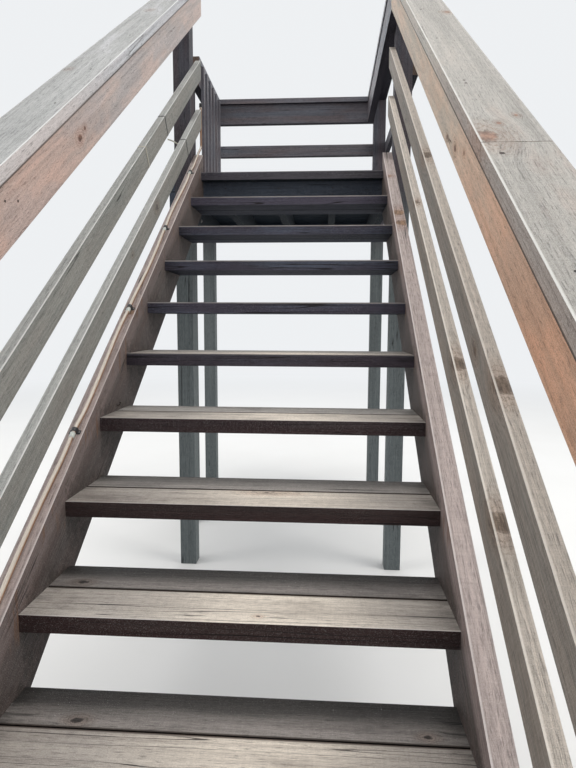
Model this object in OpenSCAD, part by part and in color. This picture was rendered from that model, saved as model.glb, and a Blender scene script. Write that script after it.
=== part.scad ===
/* [Flight] */
// Height of one step, mm
rise = 187; // [150:1:200]
// Going of one step, front edge to front edge, mm
going = 254; // [220:1:300]
// Clear width between the stringers, mm
clear_width = 1000; // [700:10:1400]

/* [Treads] */
// Thickness of a tread board, mm
tread_thick = 42; // [30:1:60]
// Width of the front board of a tread, mm
front_board = 140; // [90:1:190]
// Width of the back board of a tread, mm
back_board = 125; // [70:1:160]
// Gap between the two boards of a tread, mm
board_gap = 5; // [3:0.5:12]
// Depth of the housing cut into each stringer, mm
housing_depth = 12; // [6:1:20]

/* [Stringers] */
// Thickness of a stringer, mm
stringer_thick = 50; // [30:1:70]
// Depth of a stringer measured square to its slope, mm
stringer_depth = 240; // [190:1:320]
// Upright height of the stringer's top edge above the tread front edges, mm
stringer_rise = 66; // [30:1:120]
// Distance from the foot of the stringer to the first tread, mm
foot_length = 124; // [60:1:250]

/* [Posts] */
// Width of a square post, mm
post_width = 90; // [70:1:140]
// Distance from the newel's back face to the front rim, mm
newel_setback = 0; // [0:1:60]
// Distance from the foot newel's back face to the first tread, mm
foot_newel_setback = 4; // [0:1:60]

/* [Flight rails] */
// Thickness of a middle rail, mm
mid_rail_thick = 30; // [20:1:60]
// Depth of a middle rail measured square to its slope, mm
mid_rail_depth = 82; // [60:1:140]
// Upright height of the right upper middle rail's top, mm
right_upper_height = 627; // [500:1:760]
// Upright height of the right lower middle rail's top, mm
right_lower_height = 379; // [250:1:470]
// Upright height of the left upper middle rail's top, mm
left_upper_height = 552; // [480:1:700]
// Upright height of the left lower middle rail's top, mm
left_lower_height = 288; // [230:1:420]

/* [Handrails] */
// Upright height of the right handrail's top, mm
right_rail_height = 1033; // [900:1:1150]
// Upright height of the left handrail's top, mm
left_rail_height = 990; // [880:1:1150]
// Thickness of a handrail cap, mm
cap_thick = 35; // [22:1:50]
// Width of a handrail cap, mm
cap_width = 140; // [120:1:200]
// Thickness of a handrail board, mm
rail_board_thick = 45; // [30:1:60]
// Depth of the right handrail board measured square to its slope, mm
right_board_depth = 100; // [70:1:160]
// Depth of the left handrail board measured square to its slope, mm
left_board_depth = 120; // [70:1:160]
// Overhang of the cap past the foot newel, mm
cap_overhang = 40; // [0:1:90]
// Distance from the first tread to the joint in the right cap, mm
cap_joint_place = 755; // [300:10:1500]
// Width of the open joint in the right cap, mm
cap_joint_gap = 2; // [0.5:0.5:6]
// Lip of a cap past the face of the board under it, mm
cap_lip = 5; // [0:1:25]
// Length of the left middle rails past the back of the head newel, mm
rail_tail = 60; // [0:1:120]
// Distance that the right middle rails stop short of the back of the head newel, mm
rail_shortfall = 45; // [0:1:60]
// Length of the handrail boards past the back of the head newels, mm
board_tail = 15; // [0:1:120]

/* [Landing] */
// Depth of the landing from its front edge to the back rim, mm
landing_depth = 1457; // [900:1:2400]
// Distance from the flight's middle to the landing's left edge, mm
landing_left = 695; // [650:5:1500]
// Distance from the flight's middle to the landing's right edge, mm
landing_right = 550; // [550:5:1500]
// Thickness of a rim or joist, mm
rim_thick = 42; // [30:1:60]
// Depth of a rim, mm
rim_depth = 140; // [120:1:300]
// Depth of a joist, mm
joist_depth = 140; // [90:1:240]
// Overhang of the landing's front board past the rim, mm
nosing = 57; // [5:1:80]
// Number of landing boards
landing_boards = 10; // [6:1:18]
// Number of joists
joist_count = 3; // [1:1:6]

/* [Landing rails] */
// Height of the landing handrail above the floor, mm
landing_rail_height = 900; // [860:1:1150]
// Depth of the landing handrail board, mm
landing_board_depth = 145; // [80:1:190]
// Depth of a landing middle rail, mm
landing_mid_depth = 82; // [60:1:140]
// Height of the landing upper middle rail's top, mm
landing_upper_height = 555; // [520:1:760]
// Height of the landing lower middle rail's top, mm
landing_lower_height = 260; // [200:1:450]
// Overhang of the back cap over the landing, mm
back_cap_overhang = 25; // [0:1:60]
// Width of the way out on the landing's left side, mm
way_out_width = 600; // [600:10:1100]

/* [Pickets] */
// Width of a picket, mm
picket_width = 42; // [20:1:90]
// Thickness of a picket, mm
picket_thick = 19; // [12:1:30]
// Number of pickets
picket_count = 6; // [2:1:12]
// Height of the bottom rail's underside above the floor, mm
bottom_rail_clear = 70; // [30:5:120]

/* [Rope light] */
// Outside radius of the rope light's tube, mm
rope_radius = 6.5; // [4:0.5:10]
// Distance between two clips, mm
clip_spacing = 620; // [200:10:900]
// Length of rope light standing up the newel, mm
rope_stand = 200; // [60:10:600]
// Distance from the stringer's inner face to the tube's middle, mm
rope_place = 25; // [12:1:38]
// Radius of the bend at the newel, mm
rope_bend = 40; // [25:1:80]
// Wall of a clip round the tube, mm
clip_wall = 2.5; // [1.5:0.5:5]
// Width of a clip's foot, mm
clip_foot = 34; // [20:1:44]
// Distance from the head newel's front to the top clip, mm
clip_drop = 126; // [40:1:300]
// Length of a clip along the tube, mm
clip_length = 14; // [8:1:30]

/* [Hidden] */
tread_count = 11;
slope = rise / going;
pitch = atan(slope);
half_clear = clear_width / 2;
stringer_out = half_clear + stringer_thick;
post_out = stringer_out + post_width;
steps = tread_count + 1;
floor_z = steps * rise;
landing_front = steps * going;
rim_front = landing_front + nosing;
landing_back = landing_front + landing_depth;
deck_under = floor_z - tread_thick;
newel_back = rim_front - newel_setback;
newel_front = newel_back - post_width;
foot_back = going - foot_newel_setback;
foot_front = foot_back - post_width;
stringer_foot = going - foot_length;
cap_start = foot_front - cap_overhang;
cap_level = floor_z + landing_rail_height;
cap_under = cap_level - cap_thick;
left_face = landing_left - rail_board_thick;
right_face = landing_right - rail_board_thick;
back_face = landing_back - rail_board_thick;
back_post_front = landing_back - post_width;
exit_post_front = rim_front + way_out_width;
back_cap_front = back_face - back_cap_overhang;
back_cap_back = back_cap_front + cap_width;
right_cap_edge = right_face - cap_lip + cap_width;
left_cap_edge = left_face - cap_lip + cap_width;
rail_end = newel_back + rail_tail;
right_rail_end = newel_back - rail_shortfall;
board_end = newel_back + board_tail;
cap_in = stringer_out - rail_board_thick - cap_lip;
cap_out = cap_in + cap_width;
tread_depth = front_board + board_gap + back_board;
board_pitch = (landing_depth + board_gap) / landing_boards;
landing_board = board_pitch - board_gap;
joint_y = going + cap_joint_place;
rail_reach = landing_right + post_width + mid_rail_thick;
middle_x = (max(right_cap_edge, rail_reach) - left_cap_edge) / 2;
middle_y = (cap_start + back_cap_back) / 2;
right_under = right_rail_height - upright(cap_thick);
right_meet_top = (cap_level - right_rail_height) / slope;
right_meet_under = (cap_under - right_under) / slope;
level_board_low = cap_under - landing_board_depth;
right_board_meet = (level_board_low - right_under + upright(right_board_depth)) / slope;
skin = 0.5;
clip_ease = 0.2;
clip_through = 1;
end_length = 22;
// The rope light lies along the left stringer's top edge and turns up past the rail ends
rope_x = -half_clear - rope_place;
rope_seat = rope_radius + clip_wall;
rope_up = stringer_rise + rope_seat / cos(pitch);
rope_start = going;
rope_wall = rail_end + rope_radius + clip_ease;
turn_start = rope_wall - rope_bend * (1 - sin(pitch));
turn_middle = turn_start * slope + rope_up + rope_bend * cos(pitch);
rope_run = (turn_start - rope_start) / cos(pitch);
$fn = 32;

hardwood = [0.36, 0.25, 0.22];
weathered = [0.62, 0.55, 0.48];
grey_rail = [0.55, 0.53, 0.46];
treated = [0.50, 0.54, 0.52];
clear_tube = [0.78, 0.62, 0.42];
black_clip = [0.08, 0.08, 0.08];

// Height of the pitch line over the ground
function line(y) = y * slope;
// Upright measure of a depth taken square to the slope
function upright(d) = d / cos(pitch);

// Upright plate between two x places, outline given as y and z
module plate(x0, x1, outline) {
  translate([x0, 0, 0])
    rotate([90, 0, 90])
      linear_extrude(height = x1 - x0)
        polygon(outline);
}

// Plain block between two corners
module block(a, b) {
  translate(a)
    cube(b - a);
}

// Everything is drawn about the flight's middle and moved here to the frame's origin
module placed() {
  translate([-middle_x, -middle_y, 0])
    children();
}

// Sloping member with plumb ends
module sloping(x0, x1, y0, y1, top, depth) {
  plate(x0, x1, [
    [y0, line(y0) + top - upright(depth)],
    [y1, line(y1) + top - upright(depth)],
    [y1, line(y1) + top],
    [y0, line(y0) + top]
  ]);
}

// Outline of a stringer with a level foot and plumb ends
module stringer_blank(x0, x1) {
  low = stringer_rise - upright(stringer_depth);
  heel = -low / slope;
  plate(x0, x1, [
    [stringer_foot, 0],
    [heel, 0],
    [rim_front, line(rim_front) + low],
    [rim_front, line(rim_front) + stringer_rise],
    [stringer_foot, line(stringer_foot) + stringer_rise]
  ]);
}

// The two boards of tread n
module tread_boards(n, x0, x1) {
  y = n * going;
  z = n * rise;
  block([x0, y, z - tread_thick], [x1, y + front_board, z]);
  block([x0, y + front_board + board_gap, z - tread_thick], [x1, y + tread_depth, z]);
}

// Stringer with a housing for each tread board
module stringer(side) {
  placed()
    difference() {
      if (side > 0)
        stringer_blank(half_clear, stringer_out);
      else
        stringer_blank(-stringer_out, -half_clear);
      for (n = [1 : tread_count])
        tread_boards(n, -half_clear - housing_depth, half_clear + housing_depth);
    }
}

module stringer_left() {
  color(hardwood) stringer(-1);
}

module stringer_right() {
  color(hardwood) stringer(1);
}

module tread(n) {
  color(weathered)
    placed()
      tread_boards(n, -half_clear - housing_depth, half_clear + housing_depth);
}

// Newel at the head of the flight, its top level under the landing cap or cut to the slope
module head_newel(x0, x1, top, level) {
  under = top - upright(cap_thick);
  plate(x0, x1, [
    [newel_front, 0],
    [newel_back, 0],
    [newel_back, min(level, line(newel_back) + under)],
    [newel_front, min(level, line(newel_front) + under)]
  ]);
}

module newel_left() {
  color(hardwood)
    placed()
      head_newel(-post_out, -stringer_out, left_rail_height, line(newel_back) + left_rail_height);
}

module newel_right() {
  color(hardwood)
    placed()
      head_newel(stringer_out, post_out, right_rail_height, cap_under);
}

// Newel at the foot of the flight, its top cut to the cap's slope
module foot_newel(x0, x1, top) {
  under = top - upright(cap_thick);
  plate(x0, x1, [
    [foot_front, 0],
    [foot_back, 0],
    [foot_back, line(foot_back) + under],
    [foot_front, line(foot_front) + under]
  ]);
}

module foot_newel_left() {
  color(hardwood)
    placed()
      foot_newel(-post_out, -stringer_out, left_rail_height);
}

module foot_newel_right() {
  color(hardwood)
    placed()
      foot_newel(stringer_out, post_out, right_rail_height);
}

module mid_rails_left() {
  color(grey_rail)
    placed()
      for (top = [left_lower_height, left_upper_height])
        sloping(-stringer_out, mid_rail_thick - stringer_out, foot_front, rail_end,
          top, mid_rail_depth);
}

module mid_rails_right() {
  color(grey_rail)
    placed()
      difference() {
        for (top = [right_lower_height, right_upper_height])
          sloping(stringer_out - mid_rail_thick, stringer_out, foot_front, right_rail_end,
            top, mid_rail_depth);
        level_board_right();
      }
}

module handrail_board_left() {
  color(hardwood)
    placed()
      sloping(-stringer_out, rail_board_thick - stringer_out, foot_front, board_end,
        left_rail_height - upright(cap_thick), left_board_depth);
}

module handrail_board_right() {
  color(hardwood)
    placed()
      plate(right_face, landing_right, [
        [foot_front, line(foot_front) + right_under - upright(right_board_depth)],
        [right_board_meet, level_board_low],
        [right_meet_under, cap_under],
        [foot_front, line(foot_front) + right_under]
      ]);
}

// The level board of the landing runs past the newel and meets the sloping board in a bevel
module level_board_right() {
  plate(right_face, landing_right, [
    [right_board_meet, level_board_low],
    [landing_back, level_board_low],
    [landing_back, cap_under],
    [right_meet_under, cap_under]
  ]);
}

module handrail_cap_left() {
  color(weathered)
    placed()
      sloping(-cap_out, -cap_in, cap_start, board_end, left_rail_height, cap_thick);
}

module handrail_cap_right_lower() {
  color(weathered)
    placed()
      sloping(cap_in, cap_out, cap_start, joint_y - cap_joint_gap / 2,
        right_rail_height, cap_thick);
}

module handrail_cap_right_upper() {
  y0 = joint_y + cap_joint_gap / 2;
  color(weathered)
    placed()
      plate(cap_in, cap_out, [
        [y0, line(y0) + right_rail_height - upright(cap_thick)],
        [right_meet_under, cap_under],
        [right_meet_top, cap_level],
        [y0, line(y0) + right_rail_height]
      ]);
}

// Landing floor boards, the first notched round the stringers' ends
module landing_floor() {
  color(weathered)
    placed() {
      block([-half_clear, landing_front, deck_under],
        [half_clear, rim_front + skin, floor_z]);
      block([-landing_left, rim_front, deck_under],
        [landing_right, landing_front + landing_board, floor_z]);
      for (i = [1 : landing_boards - 1])
        block([-landing_left, landing_front + i * board_pitch, deck_under],
          [landing_right, landing_front + i * board_pitch + landing_board, floor_z]);
    }
}

module front_rim() {
  color(hardwood)
    placed()
      block([-landing_left, rim_front, deck_under - rim_depth],
        [landing_right, rim_front + rim_thick, deck_under]);
}

module back_rim() {
  color(hardwood)
    placed()
      block([-landing_left, landing_back - rim_thick, deck_under - rim_depth],
        [landing_right, landing_back, deck_under]);
}

module side_rims() {
  color(hardwood)
    placed() {
      block([-landing_left, rim_front + rim_thick, deck_under - rim_depth],
        [rim_thick - landing_left, landing_back - rim_thick, deck_under]);
      block([landing_right - rim_thick, rim_front + rim_thick, deck_under - rim_depth],
        [landing_right, landing_back - rim_thick, deck_under]);
    }
}

module joists() {
  space = (landing_left + landing_right - rim_thick) / (joist_count + 1);
  color(hardwood)
    placed()
      for (i = [1 : joist_count])
        block([i * space - landing_left, rim_front + rim_thick, deck_under - joist_depth],
          [i * space - landing_left + rim_thick, landing_back - rim_thick, deck_under]);
}

module back_post_right() {
  color(treated)
    placed()
      block([landing_right, back_post_front, 0],
        [landing_right + post_width, landing_back, cap_under]);
}

module back_post_left() {
  color(treated)
    placed()
      block([-landing_left - post_width, back_post_front, 0],
        [-landing_left, landing_back, cap_under]);
}

module way_out_post() {
  color(treated)
    placed()
      block([-landing_left - post_width, exit_post_front, 0],
        [-landing_left, exit_post_front + post_width, cap_under]);
}

// Level caps with mitred corners
module landing_cap_right() {
  color(hardwood)
    placed()
      intersection() {
        plate(right_face - cap_lip, right_cap_edge, [
          [right_meet_under, cap_under],
          [back_cap_back, cap_under],
          [back_cap_back, cap_level],
          [right_meet_top, cap_level]
        ]);
        translate([0, 0, cap_under])
          linear_extrude(height = cap_thick)
            polygon([
              [right_face - cap_lip, 0],
              [right_cap_edge, 0],
              [right_cap_edge, back_cap_back],
              [right_face - cap_lip, back_cap_front]
            ]);
      }
}

module landing_cap_back() {
  color(hardwood)
    placed()
      translate([0, 0, cap_under])
        linear_extrude(height = cap_thick)
          polygon([
            [cap_lip - left_face, back_cap_front],
            [right_face - cap_lip, back_cap_front],
            [right_cap_edge, back_cap_back],
            [-left_cap_edge, back_cap_back]
          ]);
}

module landing_cap_left() {
  color(hardwood)
    placed()
      translate([0, 0, cap_under])
        linear_extrude(height = cap_thick)
          polygon([
            [-left_cap_edge, exit_post_front],
            [cap_lip - left_face, exit_post_front],
            [cap_lip - left_face, back_cap_front],
            [-left_cap_edge, back_cap_back]
          ]);
}

module landing_board_right() {
  color(hardwood)
    placed()
      level_board_right();
}

module landing_board_back() {
  color(hardwood)
    placed()
      block([-left_face, back_face, level_board_low],
        [right_face, landing_back, cap_under]);
}

module landing_board_left() {
  color(hardwood)
    placed()
      block([-landing_left, exit_post_front, level_board_low],
        [-left_face, landing_back, cap_under]);
}

module landing_mid_rails_right() {
  color(hardwood)
    placed()
      for (top = [landing_lower_height, landing_upper_height])
        block([landing_right + post_width, newel_front, floor_z + top - landing_mid_depth],
          [rail_reach, landing_back, floor_z + top]);
}

module landing_mid_rails_back() {
  color(hardwood)
    placed()
      for (top = [landing_lower_height, landing_upper_height])
        block([-left_face, back_face, floor_z + top - landing_mid_depth],
          [landing_right, landing_back, floor_z + top]);
}

module bottom_rail_left() {
  color(hardwood)
    placed()
      block([-landing_left, exit_post_front, floor_z + bottom_rail_clear],
        [-left_face, landing_back, floor_z + bottom_rail_clear + landing_mid_depth]);
}

module pickets_left() {
  run = back_face - exit_post_front;
  space = (run - picket_count * picket_width) / (picket_count + 1);
  color(hardwood)
    placed()
      for (i = [0 : picket_count - 1])
        block([-left_face, exit_post_front + space + i * (space + picket_width),
            floor_z + bottom_rail_clear],
          [picket_thick - left_face, exit_post_front + space + i * (space + picket_width) + picket_width,
            cap_under]);
}

// Moves children to a place on the tube's slope, local Y running up the slope
module on_tube(y) {
  translate([rope_x, y, line(y) + rope_up])
    rotate([pitch, 0, 0])
      children();
}

module rope_light() {
  color(clear_tube)
    placed()
      union() {
        on_tube(rope_start)
          rotate([-90, 0, 0])
            cylinder(r = rope_radius, h = rope_run);
        translate([rope_x, rope_wall - rope_bend, turn_middle])
          rotate([90, 0, 90])
            rotate([0, 0, pitch - 90])
              rotate_extrude(angle = 90 - pitch)
                translate([rope_bend, 0])
                  circle(r = rope_radius);
        translate([rope_x, rope_wall, turn_middle])
          cylinder(r = rope_radius, h = rope_stand);
      }
}

module rope_light_ends() {
  color(black_clip)
    placed() {
      on_tube(rope_start)
        rotate([90, 0, 0])
          cylinder(r = rope_seat, h = end_length);
      translate([rope_x, rope_wall, turn_middle + rope_stand])
        cylinder(r = rope_seat, h = end_length);
    }
}

module rope_light_clips() {
  step = clip_spacing * cos(pitch);
  last = newel_front - clip_drop;
  color(black_clip)
    placed()
      for (y = [last : -step : rope_start + clip_length])
        on_tube(y)
          difference() {
            union() {
              translate([-clip_foot / 2, 0, -rope_seat])
                cube([clip_foot, clip_length, clip_wall]);
              translate([-rope_seat, 0, -rope_seat])
                cube([2 * rope_seat, clip_length, rope_seat]);
              rotate([-90, 0, 0])
                cylinder(r = rope_seat, h = clip_length);
            }
            translate([0, -clip_through, 0])
              rotate([-90, 0, 0])
                cylinder(r = rope_radius + clip_ease, h = clip_length + 2 * clip_through);
          }
}

module tread_01() {
  tread(1);
}

module tread_02() {
  tread(2);
}

module tread_03() {
  tread(3);
}

module tread_04() {
  tread(4);
}

module tread_05() {
  tread(5);
}

module tread_06() {
  tread(6);
}

module tread_07() {
  tread(7);
}

module tread_08() {
  tread(8);
}

module tread_09() {
  tread(9);
}

module tread_10() {
  tread(10);
}

module tread_11() {
  tread(11);
}

stringer_left();
stringer_right();
tread_01();
tread_02();
tread_03();
tread_04();
tread_05();
tread_06();
tread_07();
tread_08();
tread_09();
tread_10();
tread_11();
foot_newel_left();
foot_newel_right();
newel_left();
newel_right();
mid_rails_left();
mid_rails_right();
handrail_board_left();
handrail_board_right();
handrail_cap_left();
handrail_cap_right_lower();
handrail_cap_right_upper();
landing_floor();
front_rim();
back_rim();
side_rims();
joists();
back_post_right();
back_post_left();
way_out_post();
landing_board_right();
landing_board_back();
landing_board_left();
landing_cap_right();
landing_cap_back();
landing_cap_left();
landing_mid_rails_right();
landing_mid_rails_back();
bottom_rail_left();
pickets_left();
rope_light();
rope_light_ends();
rope_light_clips();
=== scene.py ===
import math
import random

import bmesh
import bpy
from mathutils import Matrix, Vector, noise


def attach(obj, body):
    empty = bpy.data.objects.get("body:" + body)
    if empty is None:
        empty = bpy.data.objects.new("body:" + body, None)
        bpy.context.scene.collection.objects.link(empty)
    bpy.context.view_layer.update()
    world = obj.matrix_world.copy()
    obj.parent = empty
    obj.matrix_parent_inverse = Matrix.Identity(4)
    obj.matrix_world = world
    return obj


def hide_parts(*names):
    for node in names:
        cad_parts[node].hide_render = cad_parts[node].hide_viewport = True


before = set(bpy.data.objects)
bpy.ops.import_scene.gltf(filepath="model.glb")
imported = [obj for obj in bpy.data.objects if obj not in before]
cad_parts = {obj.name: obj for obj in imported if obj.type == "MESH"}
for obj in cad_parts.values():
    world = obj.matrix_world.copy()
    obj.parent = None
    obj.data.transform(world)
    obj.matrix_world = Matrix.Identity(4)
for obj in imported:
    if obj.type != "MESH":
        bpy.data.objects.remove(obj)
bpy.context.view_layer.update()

# The stairs' own measures, in metres, as the construction has them
RISE = 0.187
GOING = 0.254
TREADS = 11
TREAD_THICK = 0.042
FRONT_BOARD = 0.140
BACK_BOARD = 0.125
BOARD_GAP = 0.005
HOUSING = 0.012
CLEAR = 0.500
STRINGER_OUT = 0.550
STRINGER_RISE = 0.066
POST = 0.090
POST_OUT = 0.640
FOOT_NEWEL = 0.205
HEAD_NEWEL = 3.060
RAIL_DEPTH = 0.082
RAIL_TOPS = {"left": (0.288, 0.552), "right": (0.379, 0.627)}
LEVEL_RAIL_TOPS = (0.260, 0.555)
RAIL_IN = 0.520
RAIL_END = 3.165
CAP_TOP = {"left": 0.990, "right": 1.033}
CAP_THICK = 0.035
BOARD_IN = 0.505
BOARD_DEPTH = {"left": 0.120, "right": 0.100}
LANDING_FRONT = 3.048
RIM_FRONT = 3.105
LANDING_BACK = 4.505
LANDING_LEFT = 0.695
LANDING_RIGHT = 0.550
LANDING_BOARDS = 10
RIM_THICK = 0.042
JOISTS = 3
WAY_OUT = 3.705
PICKETS = 6
PICKET_WIDTH = 0.042
PICKET_THICK = 0.019
MIDDLE = Vector((-0.0575, 2.3475, 0.0))
FLOOR = (TREADS + 1) * RISE
LANDING_CAP = FLOOR + 0.900
SLOPE = RISE / GOING
PITCH = math.atan(SLOPE)
COS, SIN = math.cos(PITCH), math.sin(PITCH)
SIDES = {"left": -1, "right": 1}

X, Y, Z = Vector((1, 0, 0)), Vector((0, 1, 0)), Vector((0, 0, 1))
UP_SLOPE, OFF_SLOPE = Vector((0, COS, SIN)), Vector((0, -SIN, COS))


def place(x, y, z):
    """A point measured from the flight's middle line and the ground line, in the frame."""
    return Vector((x, y, z)) - MIDDLE


def over_pitch(x, y, height):
    """A point at an upright height over the line of the tread edges."""
    return place(x, y, y * SLOPE + height)


def spread_out(low, high, count):
    """count even steps from low to high, with both ends."""
    return [low + (high - low) * i / count for i in range(count + 1)]


# The camera


PICTURE_HEIGHT = 768
LENS_IN_PIXELS = 573
SENSOR = 36


def look_from(position, yaw, pitch, roll):
    """Camera at the photograph's viewing angle."""
    ahead = Vector((math.sin(yaw) * math.cos(pitch), math.cos(yaw) * math.cos(pitch), math.sin(pitch)))
    right = Vector((math.cos(yaw), -math.sin(yaw), 0))
    down = ahead.cross(right)
    right, down = (right * math.cos(roll) + down * math.sin(roll),
                   down * math.cos(roll) - right * math.sin(roll))
    lens = bpy.data.cameras.new("camera")
    lens.sensor_width = SENSOR
    lens.lens = LENS_IN_PIXELS / PICTURE_HEIGHT * SENSOR
    lens.clip_start, lens.clip_end = 0.02, 100
    camera = bpy.data.objects.new("camera", lens)
    turn = Matrix((right, -down, -ahead)).transposed()
    camera.matrix_world = Matrix.Translation(position) @ turn.to_4x4()
    bpy.context.scene.collection.objects.link(camera)
    bpy.context.scene.camera = camera


look_from(place(0.1970, -0.194, 1.4186), yaw=-0.0646, pitch=-0.1068, roll=-0.0042)


# Finishes


class Value:
    """A number worked out over a surface. A sum with it is a step of its finish."""

    def __init__(self, recipe, socket):
        self.recipe = recipe
        self.socket = socket

    def __add__(self, other):
        return self.recipe.sum("ADD", self, other)

    def __sub__(self, other):
        return self.recipe.sum("SUBTRACT", self, other)

    def __rsub__(self, other):
        return self.recipe.sum("SUBTRACT", other, self)

    def __mul__(self, other):
        return self.recipe.sum("MULTIPLY", self, other)

    def __truediv__(self, other):
        return self.recipe.sum("DIVIDE", self, other)

    def __abs__(self):
        return self.recipe.sum("ABSOLUTE", self)

    def at_least(self, other):
        return self.recipe.sum("MAXIMUM", self, other)

    def whole(self):
        return self.recipe.sum("FLOOR", self)

    def past_whole(self):
        return self.recipe.sum("FRACT", self)

    def between(self, low, high, start=0.0, end=1.0):
        """Its way from low to high, eased at both, as a share from start to end."""
        reach = {"Value": self, "From Min": low, "From Max": high, "To Min": start, "To Max": end}
        return self.recipe.value("MapRange", reach, interpolation_type="SMOOTHSTEP")


class Recipe:
    """The steps of a finish, or of the surround."""

    def __init__(self, owner):
        owner.use_nodes = True
        self.owner = owner
        self.tree = owner.node_tree
        self.tree.nodes.clear()

    def step(self, kind, inputs=None, **settings):
        node = self.tree.nodes.new("ShaderNode" + kind)
        for key, value in settings.items():
            setattr(node, key, value)
        for key, value in (inputs or {}).items():
            self.feed(node.inputs[key], value)
        return node

    def feed(self, socket, value):
        if isinstance(value, Value):
            value = value.socket
        if isinstance(value, bpy.types.NodeSocket):
            self.tree.links.new(value, socket)
        elif isinstance(value, tuple) and len(value) == 3 and socket.type == "RGBA":
            socket.default_value = (*value, 1)
        else:
            socket.default_value = value

    def value(self, kind, inputs=None, output=0, **settings):
        return Value(self, self.step(kind, inputs, **settings).outputs[output])

    def sum(self, operation, a, b=0.0, clamp=False):
        return self.value("Math", {0: a, 1: b}, operation=operation, use_clamp=clamp)

    def total(self, *shares, start=0.0):
        """start plus each value times its weight, kept between 0 and 1"""
        found = start
        for value, weight in shares:
            found = value * weight + found
        return self.sum("ADD", found, 0.0, clamp=True)

    def read(self, name):
        return self.step("Attribute", attribute_name=name).outputs["Vector"]

    def point(self):
        return self.step("TexCoord").outputs["Object"]

    def parts(self, vector):
        return [Value(self, part) for part in self.step("SeparateXYZ", {0: vector}).outputs]

    def upwards(self):
        """How far the surface looks up, from -1 to 1"""
        return self.parts(self.step("NewGeometry").outputs["Normal"])[2]

    def vector(self, x, y, z):
        return self.step("CombineXYZ", {0: x, 1: y, 2: z}).outputs[0]

    def move(self, operation, a, b):
        return self.step("VectorMath", {0: a, 1: b}, operation=operation).outputs[0]

    def length(self, vector):
        return self.value("VectorMath", {0: vector}, "Value", operation="LENGTH")

    def noise(self, where, scale, detail=2.0, roughness=0.5):
        if isinstance(scale, tuple):
            where, scale = self.move("MULTIPLY", where, scale), 1.0
        return self.value("TexNoise", {"Vector": where, "Scale": scale, "Detail": detail,
                                       "Roughness": roughness})

    def blend(self, share, a, b, way="MIX"):
        node = self.step("Mix", data_type="RGBA", blend_type=way, clamp_factor=True)
        for number, value in ((0, share), (6, a), (7, b)):
            self.feed(node.inputs[number], value)
        return node.outputs[2]

    def darken(self, colour, share, by):
        """colour times by, where share is 1"""
        return self.blend(share, colour, by if isinstance(by, tuple) else (by, by, by), "MULTIPLY")

    def bump(self, strength, distance, height):
        return self.step("Bump", {"Strength": strength, "Distance": distance, "Height": height}).outputs[0]

    def mixed(self, share, a, b):
        """One shader in place of another, by share"""
        return self.step("MixShader", {0: share, 1: a, 2: b}).outputs[0]

    def shader(self, **inputs):
        named = {key.replace("_", " "): value for key, value in inputs.items()}
        return self.step("BsdfPrincipled", named).outputs[0]

    def ends_in(self, shader, kind="Material"):
        self.step("Output" + kind, {0: shader})
        return self.owner

    def background_rays(self):
        """1 for the rays that see the background: the camera's own, through clear stuff or in gloss"""
        rays = self.step("LightPath").outputs
        seen = self.sum("MAXIMUM", rays["Is Camera Ray"], rays["Is Transmission Ray"])
        return seen.at_least(rays["Is Glossy Ray"])


def new_finish(name):
    return Recipe(bpy.data.materials.new(name))


def times(colour, factor):
    return tuple(min(1.0, channel * factor) for channel in colour)


# How a board lies: its grain's direction, then across its width and through its thickness
GRAIN = {
    "slope": (UP_SLOPE, OFF_SLOPE, X),
    "slope_flat": (UP_SLOPE, X, OFF_SLOPE),
    "cross_flat": (X, Y, Z),
    "cross_edge": (X, Z, Y),
    "deep_flat": (Y, X, Z),
    "deep_edge": (Y, Z, X),
    "upright": (Z, X, Y),
}

# Knots: their shape along, across and through a board, how hard they bend the grain, and how far off each of
# their marks starts and is full, in knot sizes
KNOT_SHAPE = (0.62, 1.0, 0.5)
GRAIN_BENDS = (5.0, 0.8, 0.0, 0.85)
NEAR_KNOT = (3.6, 1.1)
IN_KNOT = (1.05, 0.60)
SWIRLS = 1.7
SWIRL_LINE = (0.16, 0.03)
NO_KNOT_NEAR = 99.0
CHANCE_KNOT = 0.075
NO_CHANCE_KNOT = 9.0
RAGGED = 1.5
# A board's own place in the patterns, its rings' width and how far off its heart line lies
BOARD_SHIFT = (7.3, 3.1, 5.7)
RING_WIDTH = 0.011
END_RING_WIDTH = 0.009
HEARTS = (0.05, 0.14)

# Marks to the metre, along, across and through a board
RING_SWAY = (0.9, 5.0, 5.0)
FIBRES = (34.0, 400.0, 400.0)
FIBRE_LINES = (1.6, 150.0, 150.0)
STREAKS = (0.9, 26.0, 26.0)
PATCHES = (2.6, 10.0, 10.0)
STAINS = (3.4, 9.0, 9.0)
SAW_MARKS = (190.0, 12.0, 12.0)
HAIR_CHECKS = (0.8, 40.0, 40.0)
CHANCE_KNOTS = (1.7, 5.5, 5.5)
# Marks to the metre, the same all ways or along the frame's axes
CURLS = 26.0
KNOT_EDGES = 95.0
GRIT = 620.0
FLECKS = 230.0
SPLASHES = 42.0
RUNS = (9.0, 34.0, 5.0)

# Where a mark starts and where it is full, in metres
POST_FOOT = (FLOOR - 0.05, FLOOR - 0.35)
LIGHT_STRIP_REACH = (0.095, 0.050)
DRY_BOARDS = (0.80, 1.12)
OFF_MIDDLE = (0.12, 0.50)
THROWN_DIRT = (0.085, 0.0)
RUN_BELOW_TREAD = (0.10, 0.15)
DARK_END = (0.09, 0.0)
ARRIS = (0.0058, 0.0026)
GLINT_ON_HIGH_FACES = (1.2, 1.6)
JOINT = (0.0060, 0.0020)
PATH_MIDDLE = 0.13
HAIR_WIDTH = (0.011, 0.004)

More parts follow.
